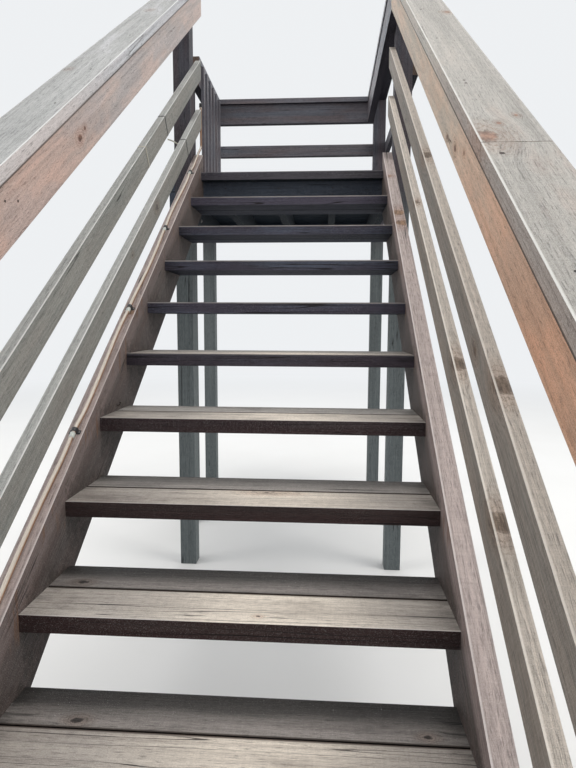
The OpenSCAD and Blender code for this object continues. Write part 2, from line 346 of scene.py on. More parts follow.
# Where a pattern's value starts to count and where it counts in full
RING_RISE = (0.25, 0.9)
RING_EDGE = (1.0, 0.92)
FIBRE_RANGE = (0.36, 0.64)
STREAK_RANGE = (0.3, 0.7)
SAW_RANGE = (0.35, 0.65)
STAIN_RANGE = (0.46, 0.66)
BARE_PATCHES = (0.30, 0.48)
SPLASH_RANGE = (0.42, 0.62)
RUN_RANGE = (0.52, 0.66)
DARK_FIBRES = (0.58, 0.68)
DARK_GRIT = (0.50, 0.66)
BRIGHT_GRIT = (0.42, 0.30)
FLECK_RANGE = (0.755, 0.80)
RUSTY = (0.42, 0.6)
# The same for a face's turn from the upright, where 1 looks up and -1 looks down
LOOKS_UP = (0.35, 0.75)
LOOKS_DOWN = (-0.3, -0.8)
STANDS_UPRIGHT = (0.4, 0.1)
UPPER_ARRIS = (0.05, 0.35)

# How light and how dark a layer's colour gets with the grain
GREY_SHADES = (1.22, 0.60)
TOP_FACE_SHADES = (1.24, 0.60)
DAMP_AND_SHADE_LEVELS = (0.25, 0.11)
SPLASHED_DIRT = (0.035, 0.027, 0.022)
TREAD_RUN_BROWN = (0.19, 0.085, 0.035)
ROUND_KNOT_BROWN = (0.80, 0.62, 0.52)
PALE_FLECK = (0.72, 0.70, 0.66)
PALE_GRIT = (1.0, 0.97, 0.93)
OFF_THE_PATH = (0.58, 0.585, 0.61)
# The painted shadow's colour in the joints
JOINT_SHADOW_TONE = (0.22, 0.19, 0.17)


class Timber:
    """The marks of sawn timber, each found once, and a colour that is built up from them layer by layer."""

    def __init__(self, name, way):
        self.r = new_finish(name)
        self.way = way
        self.at, centre, half, board = (self.r.read(mark) for mark in ("grain", "centre", "half", "board"))
        self.tone, self.shift, self.heart = self.r.parts(board)
        self.along, self.across, self.through = self.r.parts(self.r.move("SUBTRACT", self.at, centre))
        self.half_along, self.half_across, self.half_through = self.r.parts(half)
        self.sideways, self.run, self.high = self.r.parts(self.r.point())
        self.facing = self.r.upwards()

    def knots(self, spots, by_chance, curl):
        """Knots seen on the real piece, with the grain bent round them, and more by chance."""
        r = self.r
        bent, nearest = self.at, NO_KNOT_NEAR
        for spot, size in spots:
            away = r.move("SUBTRACT", self.at, tuple(spot.dot(axis) for axis in GRAIN[self.way]))
            reach = r.length(r.move("MULTIPLY", away, tuple(share / size for share in KNOT_SHAPE)))
            pull = reach.between(*GRAIN_BENDS)
            bent = r.move("SUBTRACT", bent, r.move("MULTIPLY", away, r.vector(0.0, pull, pull * 0.6)))
            nearest = r.sum("MINIMUM", nearest, reach)
        own_shift = r.move("MULTIPLY", r.vector(self.shift, self.shift, self.shift), BOARD_SHIFT)
        self.where = r.move("ADD", bent, own_shift)
        if curl:
            sway = r.step("TexNoise", {"Vector": self.at, "Scale": CURLS, "Detail": 2.0}).outputs["Color"]
            sway = r.move("MULTIPLY", r.move("SUBTRACT", sway, (0.5, 0.5, 0.5)), (curl, curl, curl))
            self.where = r.move("ADD", self.where, sway)
        lattice = r.step("TexVoronoi", {"Vector": r.move("MULTIPLY", self.where, CHANCE_KNOTS),
                                        "Scale": 1.0, "Randomness": 0.9}).outputs
        chance = r.parts(lattice["Color"])[0]
        none_here = chance.between(1.0 - by_chance, 0.98 - by_chance)
        reach = none_here * NO_CHANCE_KNOT + Value(r, lattice["Distance"]) / CHANCE_KNOT
        nearest = r.sum("MINIMUM", nearest, reach) - RAGGED / 2
        nearest = r.noise(self.at, KNOT_EDGES, 3.0, 0.65) * RAGGED + nearest
        self.near_knot = nearest.between(*NEAR_KNOT)
        self.knot = nearest.between(*IN_KNOT)
        self.swirl = abs((nearest * SWIRLS).past_whole() - 0.5).between(*SWIRL_LINE) * self.near_knot

    def marked(self, scale, low, high, detail=2.0, roughness=0.5):
        """Uneven marks along the grain, as a share."""
        return self.r.noise(self.where, scale, detail, roughness).between(low, high)

    def grain(self, figure, contrast):
        """Growth rings and fibres, from short dashes to wide streaks, as one share from pale to deep."""
        r = self.r
        from_heart = r.length(r.vector(0.0, self.across, self.through + self.heart))
        from_heart = r.noise(self.where, RING_SWAY) * 0.06 + (self.near_knot * 0.02 + from_heart)
        band = (from_heart / RING_WIDTH).past_whole()
        late_wood = band.between(*RING_RISE) * band.between(*RING_EDGE)
        self.raw_fine = r.noise(self.where, FIBRES, 2.0, 0.65)
        self.fine = self.raw_fine.between(*FIBRE_RANGE)
        self.line = self.marked(FIBRE_LINES, *FIBRE_RANGE, 3.0, 0.6)
        self.broad = self.marked(STREAKS, *STREAK_RANGE)
        self.patch = r.noise(self.where, PATCHES, 4.0, 0.65)
        self.saw = self.marked(SAW_MARKS, *SAW_RANGE, 1.0)
        self.grit = r.noise(self.at, GRIT, 2.0, 0.7)
        self.amount = r.total((self.line, 0.30 * contrast), (self.fine, 0.30 * contrast),
                              (self.broad, 0.28 * contrast), (late_wood, 0.26 * figure), (self.tone, 0.20),
                              (self.saw, 0.10 * contrast), start=0.40 - 0.49 * contrast - 0.08 * figure)

    def shades(self, colour, light=1.0, dark=0.5):
        """A colour from light to dark as the grain goes."""
        return self.r.blend(self.amount, times(colour, light), times(colour, dark))

    def cover(self, share, colour, way="MIX"):
        self.colour = self.r.blend(share, self.colour, colour, way)

    def shade(self, share, by):
        self.colour = self.r.darken(self.colour, share, by)

    def own_colour(self, pale, deep, grey, greying, patches):
        """The timber's own colour, greyed in patches, and stained where it has patches of its own."""
        self.colour = self.r.blend(self.amount, pale, deep)
        self.weather = self.r.total((self.patch, 2.0), (self.broad, 0.5), start=greying - 1.25)
        self.cover(self.weather, self.shades(grey, *GREY_SHADES))
        if patches is not None:
            self.cover(self.marked(STAINS, *STAIN_RANGE, 3.0, 0.6) * 0.75, self.shades(patches, dark=0.55))

    def by_height(self, painted_light_strip, low, painted_sky_tint):
        """A painted light strip by the top edge, a post's own foot, and a painted sky tint that comes in
        with height.
        """
        if painted_light_strip is not None:
            # Painted light: a paler band along the top edge, fuller on the right, where light falls on the
            # stringers' inner faces
            from_top = self.patch * 0.030 + (self.half_across - self.across)
            strip = from_top.between(*LIGHT_STRIP_REACH) * self.sideways.between(-0.1, 0.1, 0.45, 1.0)
            self.cover(strip, self.shades(painted_light_strip))
        if low is not None:
            self.cover(self.high.between(*POST_FOOT), self.shades(low))
        # Painted sky light: a cooler, lighter tint that grows with height
        if painted_sky_tint is not None:
            tint, start, full = painted_sky_tint
            self.shade(self.high.between(start, full), tint)

    def upper_face(self, top, damp_and_shade, dry, walked):
        """The upper face, greyed by weather and on the treads partly a painted sheen: darker to its back
        with moisture and painted shade, dry on the higher boards, pale where feet go.
        """
        r = self.r
        top_weathering_and_sheen = self.shades(top, *TOP_FACE_SHADES)
        # Darker to the back of the board: moisture, and a painted contact shadow
        if damp_and_shade:
            damp_and_shade_share = r.total((self.across, 20.0), (self.patch, 1.5), start=-0.05)
            top_weathering_and_sheen = r.blend(damp_and_shade_share * damp_and_shade, top_weathering_and_sheen, self.shades(top, *DAMP_AND_SHADE_LEVELS))
        if dry is not None:
            top_weathering_and_sheen = r.blend(self.high.between(*DRY_BOARDS), top_weathering_and_sheen,
                                self.shades(dry, *TOP_FACE_SHADES))
        if walked:
            off_middle = self.patch * 0.20 + abs(self.sideways - PATH_MIDDLE)
            top_weathering_and_sheen = r.darken(top_weathering_and_sheen, off_middle.between(*OFF_MIDDLE), OFF_THE_PATH)
        bare = self.patch.between(*BARE_PATCHES, 0.55, 1.0)
        # Faces that look up take the top colour: greyed by weather, and on the treads partly a painted sheen
        self.cover(self.facing.between(*LOOKS_UP) * bare, top_weathering_and_sheen)

    def splashes(self):
        """Dirt thrown up from each tread, and brown runs below it."""
        steps = (self.run + MIDDLE.y) / GOING
        above = self.high - steps.whole() * RISE
        drops = self.r.noise(self.at, SPLASHES, 5.0, 0.7).between(*SPLASH_RANGE)
        self.cover(above.between(*THROWN_DIRT) * drops * 0.7, SPLASHED_DIRT)
        runs = self.r.noise(self.r.point(), RUNS, 3.0, 0.6).between(*RUN_RANGE)
        stain = above.between(*RUN_BELOW_TREAD) * (runs * self.facing.between(*STANDS_UPRIGHT))
        self.cover(stain * 0.6, TREAD_RUN_BROWN)

    def fine_marks(self, core, deep, checks):
        """Dark fibres and grit, knots with their swirls, and drying checks."""
        self.shade(self.raw_fine.between(*DARK_FIBRES), 0.62)
        self.shade(self.grit.between(*DARK_GRIT), 0.66)
        self.cover(self.grit.between(*BRIGHT_GRIT) * 0.22, PALE_GRIT, "SCREEN")
        self.shade(self.near_knot * 0.40, ROUND_KNOT_BROWN)
        self.cover(self.knot * 0.85, self.r.blend(self.fine, core, times(core, 0.45)))
        self.cover(self.swirl * 0.50, times(core, 0.50))
        hair = abs(self.r.noise(self.where, HAIR_CHECKS, 1.0) - 0.5)
        opened = self.patch.between(0.60 - 0.25 * checks, 0.72 - 0.2 * checks)
        self.check = hair.between(*HAIR_WIDTH) * opened
        self.cover(self.check * 0.85, times(deep, 0.22))

    def trodden(self):
        """Dark ends and pale flecks."""
        from_end = self.half_along - abs(self.along)
        self.shade(from_end.between(*DARK_END) * self.patch.between(0.4, 0.6), 0.45)
        flecks = self.r.noise(self.at, FLECKS, 1.0).between(*FLECK_RANGE) * self.facing.between(0.5, 0.8)
        self.cover(flecks * 0.8, PALE_FLECK)

    def rubbed_and_glinting_arrises(self, edge, arris_wear_and_glint):
        """The upper arrises, and on the rails and caps those of the walking side, are rubbed pale, partly
        wear and partly a painted glint.
        """
        from_edge = self.half_across - abs(self.across)
        from_face = self.half_through - abs(self.through)
        arris = from_edge.at_least(from_face).between(*ARRIS)
        arris = arris * self.patch.between(*BARE_PATCHES, 0.5, 1.0)
        upper_side = self.facing.between(*UPPER_ARRIS)
        if self.way == "cross_flat":
            # high treads also get a painted highlight on the face, along the top only
            on_face = self.high.between(*GLINT_ON_HIGH_FACES) * self.through.between(-0.002, 0.002)
            upper_side = upper_side.at_least(on_face)
        arris = arris * upper_side
        if self.way in ("slope", "slope_flat"):
            outwards = (self.through if self.way == "slope" else self.across) * self.sideways
            arris = arris * outwards.between(-0.002, 0.003, 1.0, 0.15)
        # Painted glint with wear: the arrises take the pale edge colour
        self.cover(arris * arris_wear_and_glint, self.r.blend(0.85, self.colour, edge, "LIGHTEN"))

    def painted_joint_shadow(self, side):
        """Painted shadow in the joint along one edge."""
        from_joint = (self.through * -side + self.half_through if self.way == "slope_flat"
                      else self.across * -side + self.half_across)
        self.shade(from_joint.between(*JOINT), JOINT_SHADOW_TONE)

    def made(self, rough):
        """The finish, with its fibres, saw marks and checks felt in the surface."""
        height = self.fine * 0.45 + self.line * 0.6
        height = self.saw * 0.25 + height
        height = self.check * -1.6 + height
        height = self.swirl * -0.4 + height
        gloss = self.weather * 0.08 + (self.amount * -0.12 + (rough + 0.06))
        return self.r.ends_in(self.r.shader(
            Base_Color=self.colour, Roughness=gloss, Normal=self.r.bump(0.6, 0.0012, height),
            Specular_IOR_Level=self.facing.between(-0.6, 0.1, 0.02, 0.30)))


def timber(name, pale, deep, grey, greying, way="slope", figure=0.5, contrast=1.0, curl=0.0,
           spots=(), knots=0.05, core=None, checks=0.5, rough=0.68, patches=None, top=None, damp_and_shade=0.0,
           dry=None, walked=False, under=None, low=None, painted_sky_tint=None, painted_light_strip=None, splash=False,
           specks=False, edge=None, arris_wear_and_glint=0.5, shadowed_joint=0):
    """Sawn timber, from its own colour to the painted shadow in its joints, each layer over the last."""
    wood = Timber(name, way)
    wood.knots(spots, knots, curl)
    wood.grain(figure, contrast)
    wood.own_colour(pale, deep, grey, greying, patches)
    wood.by_height(painted_light_strip, low, painted_sky_tint)
    if top is not None:
        wood.upper_face(top, damp_and_shade, dry, walked)
    # Painted shade: faces that look down take a darker colour
    if under is not None:
        wood.cover(wood.facing.between(*LOOKS_DOWN), wood.shades(under))
    if splash:
        wood.splashes()
    wood.fine_marks(core or times(deep, 0.60), deep, checks)
    if specks:
        wood.trodden()
    wood.rubbed_and_glinting_arrises(edge or times(grey, 1.6), arris_wear_and_glint)
    # Painted shadow along one joint side
    if shadowed_joint:
        wood.painted_joint_shadow(shadowed_joint)
    return wood.made(rough)


def end_grain(name, pale, deep):
    """Sawn ends: the rings cut across, with radial checks."""
    r = new_finish(name)
    at, centre, board = (r.read(mark) for mark in ("grain", "centre", "board"))
    _, across, through = r.parts(r.move("SUBTRACT", at, centre))
    _, shift, heart = r.parts(board)
    where = r.move("ADD", at, r.vector(shift, shift, shift))
    drawn = through + heart
    radius = r.length(r.vector(0.0, across, drawn))
    band = ((r.noise(where, 22.0) * 0.008 + radius) / END_RING_WIDTH).past_whole()
    late_wood = band.between(0.3, 0.9) * band.between(*RING_EDGE)
    angle = r.sum("ARCTAN2", across, drawn)
    crack = r.noise(r.vector(angle * 26.0, radius * 4.0, shift), 1.0).between(0.60, 0.66)
    dirt = r.noise(where, 60.0, 4.0, 0.65)
    colour = r.blend(r.total((late_wood, 0.5), (dirt, 0.7)), pale, deep)
    colour = r.blend(crack * 0.85, colour, times(deep, 0.25))
    return r.ends_in(r.shader(Base_Color=colour, Roughness=0.82, Specular_IOR_Level=0.2,
                              Normal=r.bump(0.6, 0.0015, late_wood * 0.4 + dirt - crack)))


RUST = (0.13, 0.05, 0.022)


def plain(name, colour, rough, metallic=0.0, transmission=0.0, fleck=0.25, size=120.0, rust=0.0):
    """Moulded, cast or plated stuff, uneven in colour and gloss, rusting in places if it is steel."""
    r = new_finish(name)
    speck = r.noise(r.point(), size, 4.0, 0.6)
    cloud = r.noise(r.point(), 9.0)
    share = r.total((speck, 0.6), (cloud, 0.5))
    tint = r.blend(share, times(colour, 1 - fleck), times(colour, 1 + fleck))
    if rust:
        tint = r.blend(speck.between(*RUSTY) * rust, tint, RUST)
    return r.ends_in(r.shader(Base_Color=tint, Metallic=metallic, Transmission_Weight=transmission,
                              Roughness=share.between(0.2, 0.9, rough - 0.08, rough + 0.1),
                              Normal=r.bump(0.3, 0.0004, speck)))


def tube_finish(name, pale, copper):
    """Cloudy tube with a painted highlight, pale on its upper side where the sky falls on it, with the
    copper of its wires showing at the sides.
    """
    r = new_finish(name)
    cloud = r.noise(r.point(), 60.0, 3.0)
    # Painted highlight: paler on faces that look up
    painted_highlight = r.total((r.upwards().between(0.15, 0.75), 1.0), (cloud, 0.4), start=-0.2)
    return r.ends_in(r.shader(Base_Color=r.blend(painted_highlight, copper, pale), Roughness=0.16, IOR=1.45,
                              Transmission_Weight=0.25, Normal=r.bump(0.2, 0.0004, cloud)))


# What the open sky does to the upper treads: a tint, and the heights where it starts and is full
UPPER_SHADE = ((1.70, 2.95, 4.5), 1.0, 1.55)
# The treads' undersides in painted shade
TREAD_UNDERSIDE_SHADE = (0.055, 0.058, 0.080)

# Front boards of the treads are dry and pale on top, partly a painted sheen; back boards dark and moist,
# with painted shade to their backs
front_timber = timber(
    "tread_front_timber", pale=(0.060, 0.031, 0.029), deep=(0.022, 0.011, 0.011),
    grey=(0.085, 0.060, 0.055), greying=0.08, top=(0.84, 0.725, 0.62), under=TREAD_UNDERSIDE_SHADE,
    edge=(0.60, 0.55, 0.52), way="cross_flat", walked=True, painted_sky_tint=UPPER_SHADE, checks=1.0, rough=0.60,
    arris_wear_and_glint=0.9, contrast=0.80, specks=True, shadowed_joint=1,
    spots=((place(-0.03, 0.80, 0.561), 0.006), (place(0.05, 1.05, 0.748), 0.004)))
back_timber = timber(
    "tread_back_timber", pale=(0.065, 0.046, 0.044), deep=(0.024, 0.018, 0.019),
    grey=(0.08, 0.070, 0.072), greying=0.2, top=(0.285, 0.255, 0.235), under=TREAD_UNDERSIDE_SHADE,
    dry=(0.42, 0.39, 0.36), way="cross_flat", damp_and_shade=0.95, shadowed_joint=-1, painted_sky_tint=UPPER_SHADE, rough=0.58, arris_wear_and_glint=0.4,
    specks=True,
    spots=((place(-0.33, 0.93, 0.561), 0.009), (place(0.42, 0.93, 0.561), 0.007),
           (place(-0.42, 1.19, 0.748), 0.009)))
stringer_timber = timber(
    "stringer_timber", pale=(0.112, 0.080, 0.070), deep=(0.038, 0.025, 0.023), grey=(0.12, 0.104, 0.096),
    greying=0.25, top=(0.47, 0.385, 0.355), under=(0.040, 0.034, 0.036), painted_light_strip=(0.390, 0.305, 0.285),
    edge=(0.74, 0.66, 0.63), core=(0.30, 0.17, 0.095), splash=True, arris_wear_and_glint=0.9, knots=0.04,
    spots=((place(0.520, 2.520, 1.921), 0.019), (place(0.531, 2.440, 1.862), 0.017),
           (place(0.516, 2.849, 2.163), 0.006), (place(-0.524, 1.885, 1.454), 0.011)))
left_rail_timber = timber(
    "left_rail_timber", pale=(0.40, 0.375, 0.340), deep=(0.20, 0.190, 0.168), grey=(0.34, 0.345, 0.318),
    greying=0.55, top=(0.50, 0.495, 0.465), edge=(0.82, 0.80, 0.77), arris_wear_and_glint=1.0, knots=0.04, contrast=0.8,
    checks=0.25,
    spots=((place(-0.520, 2.255, 1.902), 0.012), (place(-0.520, 1.93, 1.665), 0.006)))
right_rail_timber = timber(
    "right_rail_timber", pale=(0.46, 0.395, 0.335), deep=(0.22, 0.185, 0.155), grey=(0.36, 0.335, 0.300),
    greying=0.25, top=(0.67, 0.585, 0.505), edge=(0.84, 0.77, 0.69), core=(0.20, 0.14, 0.10), arris_wear_and_glint=0.95,
    knots=0.04, contrast=0.8, checks=0.3,
    spots=((place(0.526, 1.845, 1.985), 0.018), (place(0.526, 1.276, 1.319), 0.018),
           (place(0.520, 1.069, 1.359), 0.011), (place(0.524, 2.02, 1.866), 0.010),
           (place(0.534, 0.917, 1.302), 0.017), (place(0.535, 0.895, 1.038), 0.016)))
# The caps and handrail boards carry a painted sky tint that grows toward their upper ends
left_cap_timber = timber(
    "left_cap_timber", pale=(0.80, 0.74, 0.72), deep=(0.50, 0.445, 0.43), grey=(0.64, 0.63, 0.62),
    greying=0.2, top=(0.500, 0.497, 0.485), edge=(0.84, 0.83, 0.81), painted_sky_tint=((1.0, 1.08, 1.15), 1.9, 2.4),
    way="slope_flat", checks=0.4, arris_wear_and_glint=1.0, knots=0.04, contrast=0.8, shadowed_joint=-1,
    spots=((place(-0.618, 1.656, 2.21), 0.007), (place(-0.582, 2.42, 2.772), 0.010)))
right_cap_timber = timber(
    "right_cap_timber", pale=(0.60, 0.490, 0.425), deep=(0.32, 0.250, 0.215), grey=(0.46, 0.42, 0.385),
    greying=0.25, top=(0.50, 0.470, 0.430), edge=(0.76, 0.74, 0.70), core=(0.38, 0.215, 0.150),
    painted_sky_tint=((1.25, 1.40, 1.42), 1.85, 2.25), way="slope_flat", contrast=0.8, checks=0.2, arris_wear_and_glint=1.0,
    knots=0.04, shadowed_joint=-1,
    spots=((place(0.521, 1.036, 1.796), 0.022), (place(0.558, 1.096, 1.840), 0.006),
           (place(0.605, 1.136, 1.869), 0.005), (place(0.624, 2.047, 2.540), 0.011)))
left_board_timber = timber(
    "left_board_timber", pale=(0.80, 0.565, 0.475), deep=(0.54, 0.365, 0.300), grey=(0.52, 0.435, 0.39),
    greying=0.2, patches=(0.68, 0.54, 0.49), core=(0.20, 0.09, 0.06), painted_sky_tint=((0.98, 1.13, 1.22), 1.7, 2.2),
    checks=0.3, arris_wear_and_glint=0.4, shadowed_joint=1, knots=0.02, contrast=0.60, figure=0.9, curl=0.012,
    spots=((place(-0.505, 1.457, 1.938), 0.010), (place(-0.505, 1.492, 1.975), 0.006)))
right_board_timber = timber(
    "right_board_timber", pale=(0.85, 0.485, 0.320), deep=(0.48, 0.245, 0.145), grey=(0.56, 0.39, 0.280),
    greying=0.15, patches=(0.68, 0.43, 0.300), core=(0.20, 0.09, 0.06),
    painted_sky_tint=((1.06, 1.46, 1.75), 1.35, 2.0), checks=0.3, arris_wear_and_glint=0.4, shadowed_joint=1, knots=0.02, contrast=0.65,
    figure=0.9, curl=0.010,
    spots=((place(0.505, 1.269, 1.84), 0.009), (place(0.505, 1.172, 1.801), 0.005),
           (place(0.505, 1.37, 1.897), 0.005)))
dark_timber = timber(
    "dark_timber", pale=(0.182, 0.150, 0.158), deep=(0.064, 0.052, 0.059), grey=(0.17, 0.190, 0.230),
    greying=0.35, top=(0.22, 0.225, 0.255), under=(0.045, 0.042, 0.055), rough=0.55)
# Rims and joists under the landing are dark blue-grey: painted shade
rim_timber = timber(
    "rim_timber", pale=(0.078, 0.096, 0.135), deep=(0.028, 0.037, 0.054), grey=(0.076, 0.098, 0.138),
    greying=0.25, under=(0.020, 0.022, 0.032), rough=0.6)
painted_shade_joist_timber = timber(
    "painted_shade_joist_timber", pale=(0.030, 0.040, 0.052), deep=(0.012, 0.016, 0.021), grey=(0.032, 0.042, 0.055),
    greying=0.25, under=(0.014, 0.020, 0.026), rough=0.65)
post_timber = timber(
    "post_timber", pale=(0.100, 0.078, 0.088), deep=(0.035, 0.028, 0.035), grey=(0.097, 0.103, 0.125),
    greying=0.25, low=(0.19, 0.215, 0.215), knots=0.10)
floor_timber = timber(
    "landing_floor_timber", pale=(0.092, 0.084, 0.108), deep=(0.034, 0.030, 0.040),
    grey=(0.10, 0.094, 0.105), greying=0.2, top=(0.36, 0.32, 0.285), under=(0.024, 0.034, 0.046),
    edge=(0.40, 0.39, 0.41), way="cross_flat", rough=0.60, specks=True)
dark_end = end_grain("dark_end_grain", (0.17, 0.12, 0.095), (0.055, 0.037, 0.030))
pale_end = end_grain("pale_end_grain", (0.36, 0.31, 0.26), (0.13, 0.10, 0.085))
tube_plastic = tube_finish("tube_plastic", (0.90, 0.80, 0.68), (0.40, 0.22, 0.13))
strand_copper = plain("strand_copper", (0.46, 0.24, 0.11), 0.42, fleck=0.4)
lamp_bead = plain("lamp_bead", (0.70, 0.50, 0.30), 0.35)
clip_plastic = plain("clip_plastic", (0.018, 0.018, 0.020), 0.42)
sleeve_plastic = plain("sleeve_plastic", (0.80, 0.84, 0.78), 0.15, transmission=0.25, fleck=0.08)
pale_tie = plain("pale_tie", (0.62, 0.58, 0.48), 0.5)
zinc = plain("zinc", (0.40, 0.40, 0.40), 0.48, metallic=0.85, rust=0.45, size=260.0)
black_nail = plain("black_nail", (0.022, 0.018, 0.016), 0.6, metallic=0.3, rust=0.25, size=260.0)


# Timber pieces: each CAD solid is copied, its arrises are eased and its grain is laid along it


MERGED = 1e-5
FLAT = math.radians(0.5)
SHARP = math.radians(12)
ARRIS_WIDTHS = 1.6
RUB_WAVES = 9.0
FACE_RUB = 0.0004
ARRIS_RUB = 0.0011
FINE_CUTS = 0.09
WIDE_CUTS = 0.2
CROSSES_GRAIN = 0.6
BOTH_SIDES = (-1, 1)
DARK, GREY, WEATHERED, PINE = "dark_hardwood", "grey_hardwood", "weathered_hardwood", "treated_pine"


def middle_of(solid):
    """The mean of a solid's corners, front to back first, to a tenth of a millimetre."""
    return tuple(round(sum(v.co[i] for v in solid.verts) / len(solid.verts), 4) for i in (1, 0, 2))


def solids_of(node):
    """The node's solids, each as a bmesh with merged corners and whole faces."""
    whole = bmesh.new()
    whole.from_mesh(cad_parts[node].data)
    bmesh.ops.remove_doubles(whole, verts=whole.verts, dist=MERGED)
    bmesh.ops.dissolve_limit(whole, angle_limit=FLAT, verts=whole.verts, edges=whole.edges)
    left, found = dict.fromkeys(whole.faces), []
    while left:
        group = [left.popitem()[0]]
        for reached in group:
            for edge in reached.edges:
                for face in edge.link_faces:
                    if face in left:
                        del left[face]
                        group.append(face)
        one, made = bmesh.new(), {}
        for face in group:
            for vert in face.verts:
                if vert not in made:
                    made[vert] = one.verts.new(vert.co)
            one.faces.new([made[v] for v in face.verts])
        found.append(one)
    whole.free()
    return sorted(found, key=middle_of)


def narrow(face):
    """A face's narrow width."""
    return face.calc_area() / max(edge.calc_length() for edge in face.edges)


def ease_arrises(solid, width):
    """Rounds the convex edges, but not those of a housing."""
    housing_wall = HOUSING + 0.0005
    sharp = [edge for edge in solid.edges
             if len(edge.link_faces) == 2 and edge.calc_face_angle_signed(0) > SHARP
             and min(narrow(f) for f in edge.link_faces) > housing_wall]
    bmesh.ops.bevel(solid, geom=sharp, offset=width, offset_type="OFFSET", segments=2,
                    profile=0.5, affect="EDGES", clamp_overlap=True)


def span(solid, axis):
    """How far a solid reaches along an axis."""
    reach = [v.co.dot(axis) for v in solid.verts]
    return min(reach), max(reach)


def cut_across(solid, along, spacing, extra):
    """Cuts the faces across the grain at even places, and at a few more."""
    low, high = span(solid, along)
    places = spread_out(low, high, max(1, int((high - low) / spacing)))[1:-1]
    places += [at for at in extra if low < at < high]
    for at in places:
        bmesh.ops.bisect_plane(solid, geom=solid.verts[:] + solid.edges[:] + solid.faces[:],
                               plane_co=along * at, plane_no=along, dist=1e-6)


def wear(solid, ease, chips):
    """Rubs the eased arrises unevenly and breaks a chip out here and there."""
    solid.normal_update()
    moved = {}
    for vert in solid.verts:
        wide = [narrow(face) > ease * ARRIS_WIDTHS for face in vert.link_faces]
        if all(wide):
            continue
        rub = 0.5 + 0.5 * noise.noise(vert.co * RUB_WAVES)
        moved[vert] = vert.normal * -(FACE_RUB * rub if any(wide) else ARRIS_RUB * rub)
        for at, size, depth in chips:
            share = 1 - (vert.co - at).length / size
            if share > 0:
                moved[vert] -= vert.normal * depth * min(1.0, share * 2)
    for vert, step in moved.items():
        vert.co += step


def crisp_faces(mesh, ease):
    """Wide faces keep flat light, and only the eased arrises between them turn softly."""
    wide, at_corner = [], {}
    for face in mesh.polygons:
        longest = max((mesh.vertices[a].co - mesh.vertices[b].co).length for a, b in face.edge_keys)
        wide.append(face.area > longest * ease * ARRIS_WIDTHS)
        if wide[-1]:
            for v in face.vertices:
                at_corner.setdefault(v, []).append(face.normal * face.area)
    soft = [v.normal.copy() for v in mesh.vertices]
    for v, normals in at_corner.items():
        total = sum(normals, Vector())
        if total.length > 1e-12:
            soft[v] = total.normalized()
    light = []
    for face, flat in zip(mesh.polygons, wide):
        light += [face.normal.copy() if flat else soft[v] for v in face.vertices]
    mesh.normals_split_custom_set(light)


def link(piece):
    """Gives a piece its body."""
    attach(piece, "root")
    return piece


def put_in(name, mesh):
    """An object of the mesh, in the scene."""
    piece = bpy.data.objects.new(name, mesh)
    bpy.context.scene.collection.objects.link(piece)
    return piece


def make_piece(name, solids, finishes, round_all_over=False):
    """One object from several solids."""
    mesh = bpy.data.meshes.new(name)
    joined = bmesh.new()
    for solid in solids:
        part = bpy.data.meshes.new("part")
        solid.to_mesh(part)
        solid.free()
        joined.from_mesh(part)
        bpy.data.meshes.remove(part)
    for face in joined.faces:
        face.smooth = face.smooth or round_all_over
    joined.to_mesh(mesh)
    joined.free()
    for finish in finishes:
        mesh.materials.append(finish)
    return put_in(name, mesh)


def dress(node, way, finishes, ends, ease=0.0025, spacing=FINE_CUTS, chips=()):
    """Stands a finished timber piece in for a CAD node."""
    axes = GRAIN[way]
    along = axes[0]
    draw = random.Random("grain of " + node)
    round_chips = [at.dot(along) + share * size for at, size, _ in chips
                   for share in spread_out(-1.0, 1.0, 5)]
    solids = solids_of(node)
    for number, solid in enumerate(solids):
        ease_arrises(solid, ease)
        cut_across(solid, along, spacing, round_chips)
        wear(solid, ease, chips)
        spans = [span(solid, axis) for axis in axes]
        marks = {
            "centre": Vector([(a + b) / 2 for a, b in spans]),
            "half": Vector([(b - a) / 2 for a, b in spans]),
            "board": Vector((draw.uniform(0, 1), draw.uniform(0, 1),
                             draw.uniform(*HEARTS) * draw.choice(BOTH_SIDES))),
        }
        layers = solid.verts.layers.float_vector
        for mark in ("grain", *marks):
            layers.new(mark)
        for vert in solid.verts:
            vert[layers["grain"]] = Vector([vert.co.dot(axis) for axis in axes])
            for mark, value in marks.items():
                vert[layers[mark]] = value
        solid.normal_update()
        for face in solid.faces:
            face.smooth = True
            cut = abs(face.normal.dot(along)) > CROSSES_GRAIN
            face.material_index = len(finishes) if cut else number % len(finishes)
    piece = make_piece(node + "_timber", solids, [*finishes, ends])
    crisp_faces(piece.data, ease)
    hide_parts(node)
    return link(piece)


for n in range(1, TREADS + 1):
    dress(f"tread_{n:02d}", "cross_flat", [front_timber, back_timber], dark_end, ease=0.003)
for side in SIDES:
    dress("stringer_" + side, "slope", [stringer_timber], dark_end, ease=0.003)
    dress("foot_newel_" + side, "upright", [dark_timber], dark_end)
    dress("newel_" + side, "upright", [post_timber], dark_end)
for side, rails, board in (("left", left_rail_timber, left_board_timber),
                           ("right", right_rail_timber, right_board_timber)):
    dress("mid_rails_" + side, "slope", [rails], pale_end)
    dress("handrail_board_" + side, "slope", [board], pale_end)
for name, cap, chips in (
        ("left", left_cap_timber, [(over_pitch(-CLEAR, 1.999, CAP_TOP["left"]), 0.016, 0.0035)]),
        ("right_lower", right_cap_timber, [(over_pitch(CLEAR, 0.52, CAP_TOP["right"]), 0.014, 0.0025)]),
        ("right_upper", right_cap_timber, [])):
    dress("handrail_cap_" + name, "slope_flat", [cap], pale_end, chips=chips)
